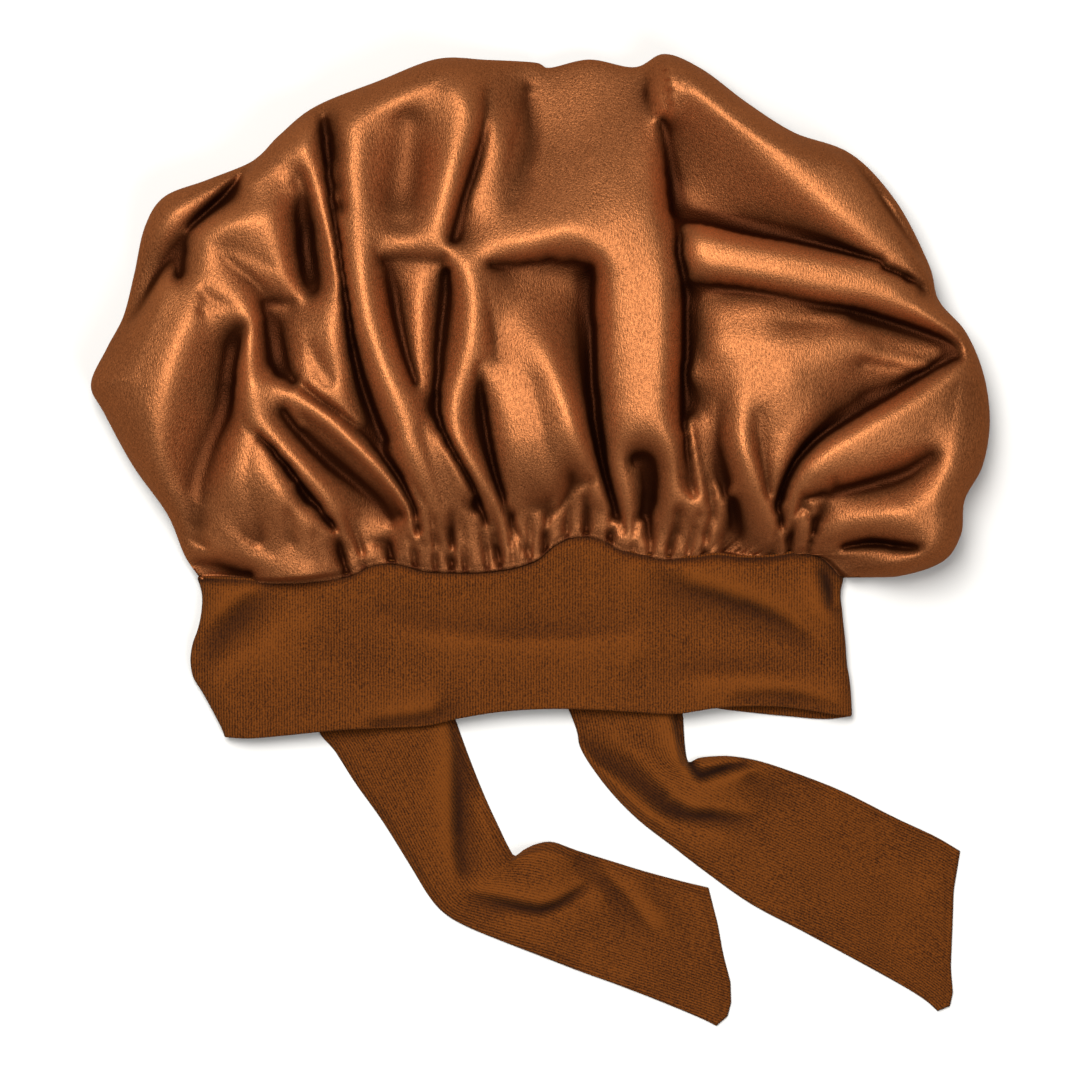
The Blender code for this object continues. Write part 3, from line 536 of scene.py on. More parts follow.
def jersey_finish():
    """Brown jersey: fine wales with a slight sheen, cloudy colour and a soft, fibrous face, with painted
    highlights on its crests and painted shade in its creases.
    """
    constants = {"Sheen Weight": 0.05, "Sheen Roughness": 0.5, "Specular IOR Level": 0.08}
    finish = Finish("brown_jersey", constants)
    finish.shader.inputs["Sheen Tint"].default_value = (0.80, 0.42, 0.20, 1.0)
    place = finish.node("ShaderNodeTexCoord", {}, {}, output=3)
    flat = finish.node("ShaderNodeUVMap", {"uv_map": "cloth"}, {})
    wales = finish.node(
        "ShaderNodeTexWave",
        {"wave_type": "BANDS", "bands_direction": "X", "wave_profile": "SIN"},
        {"Vector": flat, "Scale": 300.0, "Distortion": 1.5, "Detail": 2.0, "Detail Scale": 1.5},
        output=1,
    )
    fibres = noise(finish, place, 1500.0, 3.0)
    clouds = noise(finish, place, 45.0, 4.0)
    shade = 0.32 + 0.50 * clouds + 0.60 * (wales - 0.5) + 2.40 * (fibres - 0.5)
    crest, painted_shading = painted_highlight_and_shade(finish)
    # Painted highlight: the crests of the folds are made lighter
    shade = shade + 0.8 * crest
    cloth_with_crest_highlight = colour_mix(finish, shade, (0.018, 0.0042, 0.0004, 1.0), (0.122, 0.0325, 0.0034, 1.0))
    # Painted shade: creases and hollows are darkened toward a near black brown
    colour = colour_mix(finish, 0.9 * painted_shading, cloth_with_crest_highlight, (0.010, 0.0022, 0.0003, 1.0))
    finish.into("Base Color", colour)
    finish.into("Roughness", 0.80 + 0.12 * fibres)
    height = 0.5 * wales + 0.5 * fibres
    bump = finish.node("ShaderNodeBump", {}, {"Strength": 0.7, "Distance": 0.0005, "Height": height})
    finish.into("Normal", bump)
    return finish.material


jersey = jersey_finish()
band.data.materials.append(jersey)
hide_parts("band")
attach(band, "root")

# The crown: a round cut of copper brown satin whose rim is gathered into the band. It lies pressed
# on its back with its fullness heaped up in long folds that run down into the gathers.
CROWN_WIDTH = 0.340
CROWN_LENGTH = 0.1985
CROWN_LOFT = 0.045
EDGE_LOFT = 0.033
SLOPE_REACH = 0.070
PUFF_REACH = 0.050
PUFF_SHAPE = 0.85
ROLL_DEPTH = 0.017
ROLL_LEVEL = 0.009
UNDER_ROLL = 0.016
SATIN_WALL = 0.0008
SEAM_OVERLAP = 0.001
CROWN_TUCK = 0.0024
FOLDS_START = 0.0025
PUFF_START = 0.0035
CROWN_FOLD_GAIN = 1.55
CROWN_FOLD_SPACING = 0.0008
FOLD_MARGIN = 0.006
EDGE_PART = 0.25
PLEATS_ACROSS = 31.0
PLEAT_DRIFT = ((0.011, 23.0, 0.6), (0.006, 61.0, 0.0), (0.0028, 149.0, 0.0))
PLEAT_REACH = ((0.009, 17.0, 0.0), (0.006, 41.0, 1.0))
MEAN_REACH = 0.018
FINE_PLEATS = 2.37
FINE_REACH = 0.45
LONG_PLEAT = 0.0008
SHORT_PLEAT = 0.0007
MEAN_CREST = 0.6
CREASE_LENGTH = 0.012
CREASE_DEPTH = 0.0052
CREASE_LEAN = 0.9
SEAM_MIDDLE = 0.52
CREASE_HALF_WIDTH = 0.0006
PLEAT_HALF_WIDTH = 0.0022
PLEAT_BOW = 0.0004
PLEAT_RISE = (0.0026, 0.0038, 0.0030, 0.0014)
WIDEST_PLEAT = 0.012
LIP_END = 0.19
LIP_BLEND = 0.06
RIM_START = 0.006
LINING_DROP = 0.024
LINING_LOWEST = 0.004
LINING_INSET = 0.01
LINING_SHADE = 0.5
CROWN_SEAM_SHADE = 0.0045
RIM_SHADE_FADE = 0.012
CROWN_COLUMNS = 480
CROWN_ROWS = 176
UNDER_ROWS = 22
LINING_ROWS = 20
LINING_UNDER_ROWS = 6
LINING_STEP = 4

# Crown outline from the band's left corner round to its right corner, in hundredths of the
# crown's width and length, with the depth of the rolled edge as a share of ROLL_DEPTH
OUTLINE = (
    (12, 0.4, 0.30),
    (10.4, 4.5, 0.55),
    (8.5, 12.3, 0.80),
    (4.7, 21.5, 1.00),
    (1.5, 31.5, 1.10),
    (0, 37, 1.00),
    (1.8, 44, 0.95),
    (3.6, 50, 0.90),
    (4.8, 58, 0.85),
    (6, 67, 0.80),
    (8.2, 72.8, 0.75),
    (13, 76, 0.60),
    (18.1, 79.7, 0.60),
    (21, 84.5, 0.80),
    (25, 90, 0.90),
    (32, 94.8, 0.90),
    (38.5, 99, 0.90),
    (44, 98.9, 1.60),
    (49.5, 98.4, 3.00),
    (51, 97.4, 3.20),
    (55.5, 99, 3.20),
    (60.5, 97.5, 2.40),
    (63.8, 100, 1.00),
    (68, 97, 0.85),
    (73, 90.6, 0.80),
    (78.2, 85, 0.70),
    (84.5, 81, 0.55),
    (89.5, 72, 0.55),
    (93.2, 60, 0.60),
    (94.3, 53, 0.70),
    (97.3, 47, 0.80),
    (99.3, 39, 0.90),
    (100, 30, 1.00),
    (99.2, 21.5, 0.95),
    (97.2, 15, 0.85),
    (96.8, 8.5, 0.75),
    (94.8, 3.3, 0.65),
    (90, 0.5, 0.45),
    (85.4, 0.4, 0.25),
)

# Fold lines of the crown's front, crests and valleys alike. Each row gives the points of a line
# in hundredths of the crown's width and length with the cloth's rise there in millimetres, then
# the line's half width in millimetres and how far the cloth bows down over that width.
CROWN_LINES = (
    # Upper left: the back lobe, the edge of the front lobe and the pockets between them
    (((18.2, 79.3, -5), (16.4, 75.6, -7), (14.6, 72, -7), (12.6, 68.4, -6), (11.2, 66, -5)), 0.6, 0),
    (((16.8, 77.4, 0), (14.6, 74.6, 1), (12.4, 71.4, 1), (9.6, 68, 1), (7.6, 66, 1)), 1.5, 0),
    (((10.8, 66.2, -3), (10.4, 62, -6), (10, 57.4, -5)), 1.2, 0),
    (((10.9, 65, -5), (9, 61.2, -7), (7.4, 57.2, -8), (5.9, 53.2, -8), (4.2, 49.4, -7)), 0.7, 0),
    (((9.4, 57, 4), (8.4, 54, 5), (7.2, 50, 5), (5.4, 46.4, 4)), 1.2, 0.2),
    (((17.4, 77.3, 3), (17.9, 74.6, 5), (19.2, 72.2, 6), (20.6, 69.4, 7), (21.6, 66, 7), (22, 61, 5),
      (22.4, 56.6, 3), (23.1, 54, 1)), 0.6, 0),
    (((12.6, 64.6, 4), (14.6, 66.4, 7), (17.6, 67.6, 9), (20.6, 68.4, 9)), 2.4, 0.8),
    (((15.2, 61.6, 3), (18, 59.4, 3), (20.4, 57.6, 2)), 2, 0),
    (((23.6, 75, 1), (24, 70, -3), (24.2, 65, -7), (24.4, 60, -8), (24.7, 56.6, -7), (24.9, 55, -5)),
     2.4, 0),
    (((18.6, 79.2, 3), (20.6, 81.6, 5), (22.8, 83.6, 6), (24.4, 85.6, 5)), 1.6, 0.5),
    (((24.4, 85.4, 6), (25, 80, 7), (25.6, 74, 7), (26.4, 68, 6), (27.2, 62, 5), (27.5, 58.6, 4),
      (28.1, 55.6, 3)), 1.6, 0.6),
    (((20.6, 78.4, 3), (22, 75.4, 3), (23, 72.6, 2)), 1.5, 0),
    (((26, 87.6, -4), (26.3, 83, -5), (26.8, 77, -5), (27.2, 70, -5), (27.8, 64, -5), (28.3, 58, -5),
      (28.9, 51, -5), (29.4, 44, -6), (30.4, 37, -7), (31.6, 31, -8), (33, 26, -8)), 0.8, 0),
    (((27.3, 88, 0), (27.6, 82, 0), (27.8, 76, 0), (28.2, 69, -1)), 1, 0),
    # The front lobe's lower side, the grainy facet under it and the left side panel
    (((11.9, 60.4, 3), (13.3, 57.6, 4), (14.9, 55, 5), (16.6, 52.7, 5), (18.3, 50.6, 6)), 0.6, 0),
    (((15, 61.4, 2), (16.8, 58.6, 1), (18.6, 55.8, -1), (20, 52.8, -4)), 1, 0),
    (((12.9, 53.4, 3), (15, 51.7, 3), (17.2, 50.7, 4)), 0.6, 0),
    (((12.7, 50.9, 4), (14.6, 49.9, 4), (16.8, 49.2, 5), (18.8, 49.4, 7)), 1.4, 0.4),
    (((11.1, 55, 5), (12.4, 52, 7), (12.2, 50.4, 8), (11, 46.4, 9), (10, 42, 9), (9.2, 37.6, 9),
      (8.5, 33, 9), (8.1, 29, 8), (7.8, 25, 7), (7.5, 21, 6), (7.7, 16.6, 4), (8.4, 12.6, 2)), 1.4, 0.3),
    (((17, 46.8, -2), (16.4, 44, -5), (15.9, 40, -6), (15.6, 36, -7), (15.2, 32.4, -7), (14.2, 28, -6),
      (13, 23, -5), (12, 17, -4), (11.8, 11, -2)), 2.4, 0),
    (((18.8, 49.2, 7), (18, 45.8, 7), (17.8, 42, 7), (17.5, 37, 7), (17.5, 33, 6), (18, 30.2, 5)), 0.6, 0),
    (((20, 51, -5), (20.5, 48, -7), (20.9, 44, -8), (21.4, 40, -7), (22.4, 37.6, -4)), 2.8, 0),
    (((20.4, 52, -6), (22.8, 52, -5)), 0.5, 0),
    # Left: the long diagonal folds that run down to the gathers
    (((18, 30, 5), (20, 27.2, 6), (22, 23.8, 6), (24, 20, 6), (26, 15.8, 6), (27.4, 11.8, 6),
      (28.5, 7.8, 5), (29.5, 5, 3), (30.2, 3.8, 2)), 1.5, 0.3),
    (((18.8, 27.2, -3), (20.7, 24, -5), (22.4, 20.6, -6), (24, 16.6, -6), (25.8, 12.8, -6), (27.4, 9.6, -4)),
     0.9, 0),
    (((18, 28.6, 2), (19.8, 25, 3), (21.2, 21.6, 4), (22.2, 18.2, 4)), 0.6, 0),
    (((17.8, 28.8, 1), (17.2, 24, 3), (16.6, 19, 4), (17.4, 13, 4), (18.2, 8, 3)), 3.5, 0.8),
    (((22, 31.6, -3), (24, 26.6, -6), (26.8, 22, -8), (29.6, 18.4, -8), (32, 14.8, -7), (33.4, 11.2, -5)),
     1, 0),
    (((20.4, 38.8, 1), (21.4, 36, 3), (22.4, 32.2, 1), (23.6, 29, -1)), 0.8, 0),
    (((21.4, 37.2, 4), (23.6, 34, 5), (26, 31.2, 6), (28, 28.2, 6), (30, 24.8, 6), (32, 21, 6),
      (33.8, 17, 6), (35.2, 13.6, 6), (36, 10.4, 5), (35.9, 7, 4), (35.5, 4.6, 2)), 1.5, 0.3),
    (((24, 30.2, -2), (26.4, 27.4, -3), (29, 23.6, -4), (31.4, 19.6, -4), (33.6, 15.4, -4), (34.9, 12, -4)),
     0.7, 0),
    (((24, 36, -2), (26, 33.4, -3), (28.2, 30.8, -4), (30.6, 27.2, -6), (33, 22.4, -7), (34.8, 18, -7),
      (36.1, 13.4, -6), (36.5, 8.6, -4)), 0.7, 0),
    (((23.2, 41.4, 0), (24.6, 37.4, 3), (26.4, 34.6, 4), (28.4, 32, 3), (30, 29.6, 0)), 0.7, 0),
    (((23.6, 45.6, 0), (24.8, 41.6, 0), (26.6, 37, 1)), 2, 0),
    (((27.8, 54, 4), (28.1, 50, 5), (28.3, 45, 6), (28.5, 40, 5), (28.7, 35.6, 3), (29.2, 31.8, 1)),
     1.2, 0.4),
    # The star of creases at the lower left and the lip that hangs over the band
    (((22.2, 17.8, 7), (21.6, 14, 6.5), (21, 10, 6), (20.3, 5, 5)), 0.5, 0),
    (((22.3, 12.4, 4), (22.5, 7, 4)), 0.8, 0),
    (((22.3, 17.8, 7), (23, 14.6, 7), (23.9, 12.2, 7), (24.4, 8, 7), (24.5, 3.6, 6)), 0.5, 0),
    (((24, 12.2, 7), (26, 10, 6), (28.2, 7.6, 4)), 0.5, 0),
    (((24.9, 13.6, 1), (26.6, 11.6, 0)), 1, 0),
    (((25.4, 8.4, 4), (26.2, 5, 4), (26.6, 3, 4)), 1.6, 0),
    (((22.2, 18.3, 4), (23.3, 18, 1)), 0.5, 0),
    (((10.6, 5.8, 5), (12, 4.9, 6), (14, 4.6, 7), (16, 3.6, 7), (18, 2.6, 8), (20, 1.9, 8),
      (22, 1.2, 8), (24.4, 0.9, 9), (26, 1.2, 6), (27.8, 1.8, 4)), 0.5, 0),
    (((11.6, 2.8, -2), (14, 3, -2), (16, 1.9, -2), (18, 1.1, -1)), 0.5, 0),
    (((14, 7.6, 4), (16.4, 7.4, 5), (18.4, 5.6, 5)), 1.5, 0.4),
    (((11.6, 7.4, 0), (13, 6, 1)), 0.7, 0),
    (((28.3, 7.2, 3), (28.5, 4.6, 2), (28.7, 2.8, 1)), 0.5, 0),
    (((28.8, 5.8, -4), (29.3, 4, -2)), 0.5, 0),
    (((31, 7, -2), (33.2, 6.8, -4), (33, 5, -3)), 0.8, 0),
    # Centre left: the looped lobe and the broad ridge that runs down from it
    (((39.6, 96, 6), (36, 93.2, 6), (32.6, 90.6, 6), (30.2, 87.2, 6), (29.2, 83, 7), (28.9, 78, 7),
      (29, 72, 7), (29.5, 66, 7), (30, 60, 8), (30.5, 54, 8), (31.2, 48, 8), (32.4, 42, 8),
      (33.8, 36, 8), (35.2, 29.6, 7), (36.4, 23, 6), (37.2, 17, 5), (37.8, 10, 4), (38.2, 5, 3)), 5.4, 1.3),
    (((39.6, 96.2, 7), (41.4, 93, 8), (42, 88, 8), (41.4, 82, 8), (40.4, 76, 8), (39.8, 70, 7),
      (39.4, 65, 6), (39.2, 62.4, 5)), 4.4, 1.3),
    (((35.6, 85, 0), (35.2, 79, -2), (34.8, 72, -2), (34.8, 68, 0)), 6, -3),
    (((44.4, 92, 1), (44, 85, 0), (42.8, 77, -2), (41.2, 69, -2), (40.4, 63.6, -2)), 1.6, 0),
    (((45, 86, 3), (44.4, 79, 2), (43, 71, 1)), 2.5, 0),
    (((32.2, 61.6, 3), (35, 62.2, 4), (37.6, 61.8, 5), (39.2, 61.9, 5)), 0.9, 0),
    (((32.8, 59.8, -1), (35.6, 59.9, -1), (38, 59.9, 0), (39.6, 60.4, 0)), 0.8, 0),
    (((33.4, 58, -2), (33.9, 54, -4), (34.4, 49, -4), (35.2, 43, -3), (36.4, 37, -2)), 1.2, 0),
    (((39, 59.4, -1), (37.8, 57, 0), (37, 53, 1), (36.9, 47, 2), (37, 41, 2), (37.4, 36, 1)), 2.4, 0.6),
    (((39.9, 58, -5), (39.6, 53, -6), (39.1, 47, -6), (38.8, 41, -5), (38.7, 35, -5), (39, 30, -6),
      (39.9, 26, -7), (41.4, 21.4, -7), (42.8, 16.8, -7), (43.8, 12, -6), (44.6, 7.4, -5), (45.2, 3.6, -3)),
     0.8, 0),
    (((37.6, 28, 3), (39, 20, 2), (40.6, 12, 2), (41.6, 6, 2)), 3.5, 0),
    (((35, 20.6, 1), (36.6, 16.2, 0), (37.7, 12.6, 0), (38.5, 8, 0), (39.4, 4.6, -1), (40.3, 2, -1)), 0.5, 0),
    (((36.7, 19.6, 5), (37.9, 15.6, 4), (38.8, 10.6, 4), (39.9, 6, 3), (41, 2.6, 2)), 1, 0),
    # Centre: the pinched line, the dark pocket under it and the petal panel
    (((40.2, 60.8, 5), (42, 60.5, 5), (44, 60.4, 5), (46.6, 60.7, 5), (49.4, 61.5, 6), (51.2, 63.4, 7),
      (53.2, 65.6, 8), (54.8, 63.6, 7), (56.2, 60.6, 6), (57.4, 58.4, 6), (60, 57.9, 6), (62.6, 57.2, 6),
      (63.8, 56, 6), (64.5, 54.6, 6)), 0.9, 0),
    (((52, 61.4, 4), (54.2, 61.2, 3), (55.4, 60, 2)), 1, 0),
    (((44.4, 58.8, -1), (47.6, 59.2, -3), (50.8, 59.8, -4), (53.6, 59.4, -5), (55.6, 58.4, -6)), 1, 0),
    (((40.3, 60.4, 6), (41.6, 57.4, 7), (42.6, 53, 7), (42.6, 47, 7), (42, 41, 7), (41, 36, 6),
      (40.2, 31.6, 6), (40.2, 28, 6), (41, 24.2, 6), (42.4, 20.2, 6), (44, 15.8, 5), (45, 12, 5),
      (46, 8, 4), (47, 4.8, 2)), 3.8, 0.9),
    (((44, 58.4, 5), (44.4, 53, 3), (45, 47, 1), (45.4, 42, 1)), 0.8, 0),
    (((43.2, 40, 3), (43.6, 35.6, -3), (44, 31, -6), (44.5, 25, -7), (45.2, 19, -7), (46.2, 13.4, -6),
      (47.4, 8.6, -4), (48.8, 4.4, -2)), 0.7, 0),
    (((43.4, 40.4, 3), (44.2, 34, 2), (44.9, 27, 1), (45.8, 20, 1), (47, 13.4, 1)), 0.6, 0),
    (((48.9, 46.6, 2), (50.4, 43.2, 5), (52, 38.2, 7), (53.4, 33.2, 9), (54.6, 27.6, 9), (55.6, 22.4, 9),
      (56.6, 17, 8), (57.4, 12.4, 6), (57.8, 9.4, 3)), 0.6, 0),
    (((48.2, 37, 3), (49, 30, 4), (50.2, 23, 4), (51.6, 17, 4)), 3, 0.3),
    (((55.4, 57.4, -8), (55.6, 50, -10), (55.8, 42, -10), (55.9, 34, -10), (56.3, 27, -9), (57.2, 20, -8),
      (58.4, 13.4, -6), (59.2, 9, -4)), 0.8, 0),
    (((49, 13.4, -1), (51.6, 12.6, -2), (53.6, 17, -1), (55.6, 18.4, 1)), 1.2, 0),
    (((52.4, 12, 3), (53.6, 15.4, 3), (55.2, 16.6, 4), (56.6, 14, 4)), 0.7, 0),
    (((47.4, 10.8, 4), (48.4, 7.8, 4), (49.4, 5.4, 2)), 0.6, 0),
    (((49.6, 11.4, 3), (50.8, 9.4, 3), (51.8, 7.4, 2)), 0.8, 0),
    # The upright panel right of the petal and the arch at its foot
    (((57.3, 57.6, 5), (57.2, 52, 5), (57.2, 44, 5), (57.4, 36, 5), (57.8, 29, 5), (58.2, 25.6, 5)),
     1.8, 0.6),
    (((64.5, 53.6, 6), (64.6, 48, 6.5), (64.6, 41, 6.5), (64.5, 34, 6.5), (64.4, 28, 7), (64.4, 22.6, 7),
      (64.5, 16, 6), (64, 10, 4), (63.4, 5.4, 2)), 1, 0.3),
    (((57.9, 25, 6), (58.2, 20.4, 7), (59, 15.4, 7), (59.9, 10.6, 6), (60.4, 7, 3)), 1.2, 0.2),
    (((58, 25.2, 6), (59.4, 27.2, 7), (61.2, 27.8, 7), (63, 26.8, 7), (64.2, 24, 7)), 1.2, 0.2),
    (((60.6, 22.4, -3), (61.8, 21.6, -4), (62.2, 17, -6), (61.9, 12, -6), (61.8, 8.4, -4)), 2.2, 0),
    (((63.5, 21, 1), (63.3, 16, 0), (62.8, 11, 0)), 0.6, 0),
    (((66, 55.8, -8), (66.2, 50, -9), (66.1, 44, -9), (65.9, 38, -9), (65.9, 33, -8), (66, 28.4, -6),
      (66.4, 22, -5), (67, 16, -3)), 0.7, 0),
    (((66.1, 29.6, 3), (66.7, 25, 4), (67.3, 20, 4), (68, 15, 4), (68.6, 10.6, 3)), 0.6, 0),
    (((65.5, 27, 0), (65.6, 21, -1), (66, 18.6, -2)), 0.7, 0),
    (((67.2, 29, -3), (68, 22, -4), (68.9, 15, -4), (69.6, 9.6, -3)), 1.2, 0),
    (((65.2, 16.4, 3), (66.4, 13.8, 4), (67.3, 10.6, 4), (68, 7.4, 3), (68.6, 5, 2)), 0.6, 0),
    (((65, 13, -2), (65.4, 9, -2), (66, 6.8, -1)), 0.6, 0),
    # Top centre: faint folds in the steep smooth panel
    (((48.8, 93.6, -7), (49, 88, -7), (49.3, 83, -6), (48.4, 77, -4), (46.8, 71, -1)), 1.2, 0),
    (((50.6, 90, -5), (50.8, 84, -4), (49.6, 77.6, -2)), 1.4, 0),
    (((48.8, 92.2, -6), (50.6, 93.6, -5), (51.8, 95.6, -5), (52.3, 97.6, -5)), 0.8, 0),
    (((61.2, 96.4, -4), (61.7, 91.6, -4), (62.2, 87, -3), (62.6, 80, -1), (62.9, 74, 1), (63.2, 69, 3),
      (63.7, 63.6, 4), (64.1, 59, 5), (64.5, 56, 5)), 1.2, 0.2),
    # Upper right: the dark triangle under the great fold, and the strip with two edges
    (((63.2, 89.4, 3), (64.2, 92.6, 6), (65.6, 95.2, 7), (67, 94.6, 9), (69.4, 91.4, 9), (72.2, 87, 9),
      (74.6, 82.6, 9), (77.4, 78, 9), (80.4, 73.4, 8), (83.4, 68.6, 8), (86.4, 64, 7), (89.6, 60.2, 5),
      (92, 57.6, 3)), 5, 1),
    (((63.5, 87, -5), (64, 82, -8), (64.5, 76, -12), (64.8, 70.6, -12), (65.2, 68.4, -10)), 1.2, 0),
    (((65.6, 67.9, -10), (69, 66.8, -9), (73, 65.2, -8), (77, 64, -6), (81, 62.6, -4), (85, 61, -2),
      (87.6, 59.8, 0)), 0.9, 0),
    (((66.6, 66.2, 5.5), (68, 65.9, 6), (72, 64.4, 6.5), (76, 63.1, 7), (80, 61.6, 7.5), (84, 60.3, 7.5),
      (87.4, 59, 6.5)), 0.8, 0),
    (((67.6, 61.4, 6), (72, 60.2, 6.5), (78, 58.4, 7), (84, 56.4, 8), (88, 54.9, 8)), 6.5, 0.2),
    (((65.1, 68, -8), (65.4, 64, -5), (65.6, 60, -5), (65.8, 57, -7)), 0.6, 0),
    (((87.4, 58.8, 0), (90, 57.2, -2), (92.4, 55, -2)), 0.8, 0),
    (((67, 57, 5.5), (70, 56.6, 6), (74, 55.8, 6.5), (78, 54.6, 7), (81, 53.4, 7.5), (85, 52.3, 8.5),
      (88, 50.8, 9), (91, 49.4, 9), (94, 47.4, 9), (96.4, 45.2, 7), (97.6, 43.6, 5)), 0.8, 0),
    (((66.4, 55.6, -5), (70, 55, -4), (74, 54, -2), (78, 52.6, -1), (81, 51.5, -2), (85, 50.4, -4),
      (88, 49.1, -5), (91, 47.6, -5), (94, 45.7, -4), (96, 43.9, -2)), 0.9, 0),
    (((69.4, 49.6, 0), (74, 50, 1), (78, 48.6, 0), (83, 48.8, 1)), 1.5, 0),
    # Right: the broad panel, its lower fold and the deep diagonal crease
    (((66.6, 52, -7), (67, 46, -6), (67.2, 41, -4), (66.8, 38.4, -2)), 1, 0),
    (((69.6, 44, 2), (76, 43, 4), (82, 43.4, 4), (86, 44.4, 3)), 3, 0),
    (((87, 45, 0), (90, 43.6, -2), (93.4, 42.6, -3)), 2, 0),
    (((84.6, 42.4, 2), (88, 41.6, 1), (91, 40.9, 1), (92.3, 40.7, 2)), 0.7, 0),
    (((85.6, 40.4, -2), (88, 39.8, -3), (90, 39.4, -3)), 1.2, 0),
    (((72.8, 36.6, 4), (72.2, 33, 5), (71.8, 29, 5), (72.1, 25, 6), (72.8, 21, 6), (73.8, 17, 6),
      (74.8, 13.4, 6), (76, 10.4, 5), (76.5, 7.4, 4), (76.6, 5, 2)), 2.6, 0.6),
    (((69.4, 33, -2), (69.2, 27, -4), (70, 20, -6), (71.2, 13, -7), (72.2, 8, -5)), 1.2, 0),
    (((74, 31, 2), (74.2, 25, 0), (74.8, 19, -1), (75.3, 15.6, -2)), 1.2, 0),
    (((80, 33, 2), (78.4, 28.6, 3), (77, 23.6, 3), (76, 18.6, 3), (75.5, 15.2, 2)), 1.4, 0.3),
    (((77.2, 38, 5), (76, 33, 4), (76, 28, 2)), 2, 0),
    (((96.2, 42, -3), (94, 40.4, -5), (92, 38.6, -6), (90, 36.4, -6), (88, 34, -6), (85, 31, -6),
      (82, 27.9, -6), (79.6, 24.9, -6), (77.9, 21.4, -6), (76.8, 17.4, -6), (76.3, 13.4, -6), (77, 9, -4),
      (77.6, 5.6, -2)), 0.9, 0),
    (((97.7, 42.8, 4), (96.4, 40.4, 5), (94, 37.8, 6), (91, 34.6, 7), (88, 32.1, 7), (85, 29.4, 7),
      (82, 26.4, 7), (80.2, 23.8, 7), (79, 20.8, 6), (78.2, 17.4, 6), (77.9, 13.6, 6), (78.3, 10.6, 5),
      (78.9, 8.4, 4), (79.2, 5.2, 2)), 2, 0.4),
    (((79.4, 17.2, 4), (82, 19.2, 5), (85, 21, 5), (88, 22.9, 5), (91, 25.4, 5), (93, 28, 4)), 1, 0.2),
    (((79.2, 15.2, -2), (82, 16.2, -3), (86, 17.8, -4), (90, 19.8, -3), (93, 23.2, 0)), 1.2, 0),
    (((96.6, 36, 3), (96.2, 29, 4), (95.6, 23, 5), (94.2, 17.6, 6), (91.8, 13.6, 6), (88.6, 11.2, 6),
      (85, 10, 5), (82.4, 9.2, 5), (81, 7.6, 4), (80.2, 5.6, 2)), 3.4, 0.8),
    (((79, 12.6, 2), (79.6, 9.6, 2), (79.7, 5.8, 1)), 0.6, 0),
    (((79.3, 13.6, -2), (80.2, 10.8, -3), (80.6, 8.4, -2)), 0.7, 0),
    (((83, 7.6, 3), (86, 8.6, 4), (89, 8.1, 4), (92, 7, 4), (92.6, 5.6, 4)), 0.6, 0),
    (((83.6, 6, -2), (86.4, 6.9, -4), (89, 6.4, -4), (91.6, 5.8, -1)), 0.6, 0),
    (((84, 4.9, 3), (87, 5, 4), (90, 4.5, 4), (92.2, 4.9, 4)), 0.6, 0),
    (((84.6, 3.6, 4), (85.5, 2, 4)), 1.5, 0.6),
    # Right back lobes: the front edge and two small lips behind it
    (((78.2, 84, 2), (81, 81.4, 3), (83.2, 78.8, 4), (85.2, 74.8, 5), (87.4, 69.6, 5), (90, 63, 5),
      (92.4, 56.6, 4)), 0.6, 0),
    (((82, 82.4, -1), (84.6, 79.4, -2), (86.6, 75.2, -3), (88.6, 70, -3), (91, 63.8, -3), (93.2, 58, -2)),
     0.6, 0),
    (((85, 79.4, 2), (86.6, 77.8, 3), (88.2, 75.6, 3)), 0.5, 0),
    (((85.9, 77, -1), (87.2, 74.8, -1)), 0.5, 0),
    (((87.8, 72.2, 2), (89.4, 71.2, 3), (90.6, 68.6, 3), (91.8, 64.6, 2)), 0.5, 0),
    (((88.6, 70.6, -1), (89.8, 68, -1)), 0.5, 0),
)

# Creases between the gathers where they meet the front seam, in hundredths of the crown's width
PLEATS = (
    28.5, 30.3, 33.6, 36.2, 38.4, 40.2, 41.6, 44.2, 45.6, 47, 48.8, 50.4, 52.9, 55.1, 57.8, 60.4, 62.2,
    64.3, 66.4, 68.2, 70.3, 76, 77.6, 79.8,
)


def edge_spacing(rows):
    """Shares from 0 to 1 that crowd together near 1, where the cloth rolls over.

    They keep an even pace at first and follow a square over the last part.
    """
    back = 1.0 - np.linspace(0.0, 1.0, rows + 1)
    even = EDGE_PART * (2.0 * back - EDGE_PART)
    scale = 1.0 / (2.0 * EDGE_PART - EDGE_PART ** 2)
    return 1.0 - scale * np.where(back < EDGE_PART, back * back, even)


def past_lip(across):
    """0 along the lip at the left that hides the gathers, rising to 1 past it."""
    return smooth_step((across - LIP_END) / LIP_BLEND)


def waves(at, sines):
    """Sum of sines of a place, each given by its size, its pace and its start."""
    return sum(size * np.sin(pace * at + start) for size, pace, start in sines)


def gather_pleats(across, away):
    """Narrow pleats along the seam: rounded crests with sharp valleys between them.

    The crests follow the size of a sine whose turns are spaced unevenly across the seam. Each
    pleat fades with the distance from the seam, some soon and some late. Finer pleats among them
    fade sooner.
    """
    turns = PLEATS_ACROSS * (across + waves(across, PLEAT_DRIFT))
    crest = np.abs(np.sin(math.pi * turns)) ** 0.7
    fine = np.abs(np.sin(math.pi * FINE_PLEATS * turns + 0.4)) ** 0.8
    reach = MEAN_REACH + waves(across, PLEAT_REACH)
    long_part = (1.0 - smooth_step(away / reach)) * (crest - MEAN_CREST)
    short_part = (1.0 - smooth_step(away / (FINE_REACH * reach))) * (fine - MEAN_CREST)
    size = LONG_PLEAT * long_part + SHORT_PLEAT * short_part
    return size * smooth_step(away / FOLDS_START) * past_lip(across)


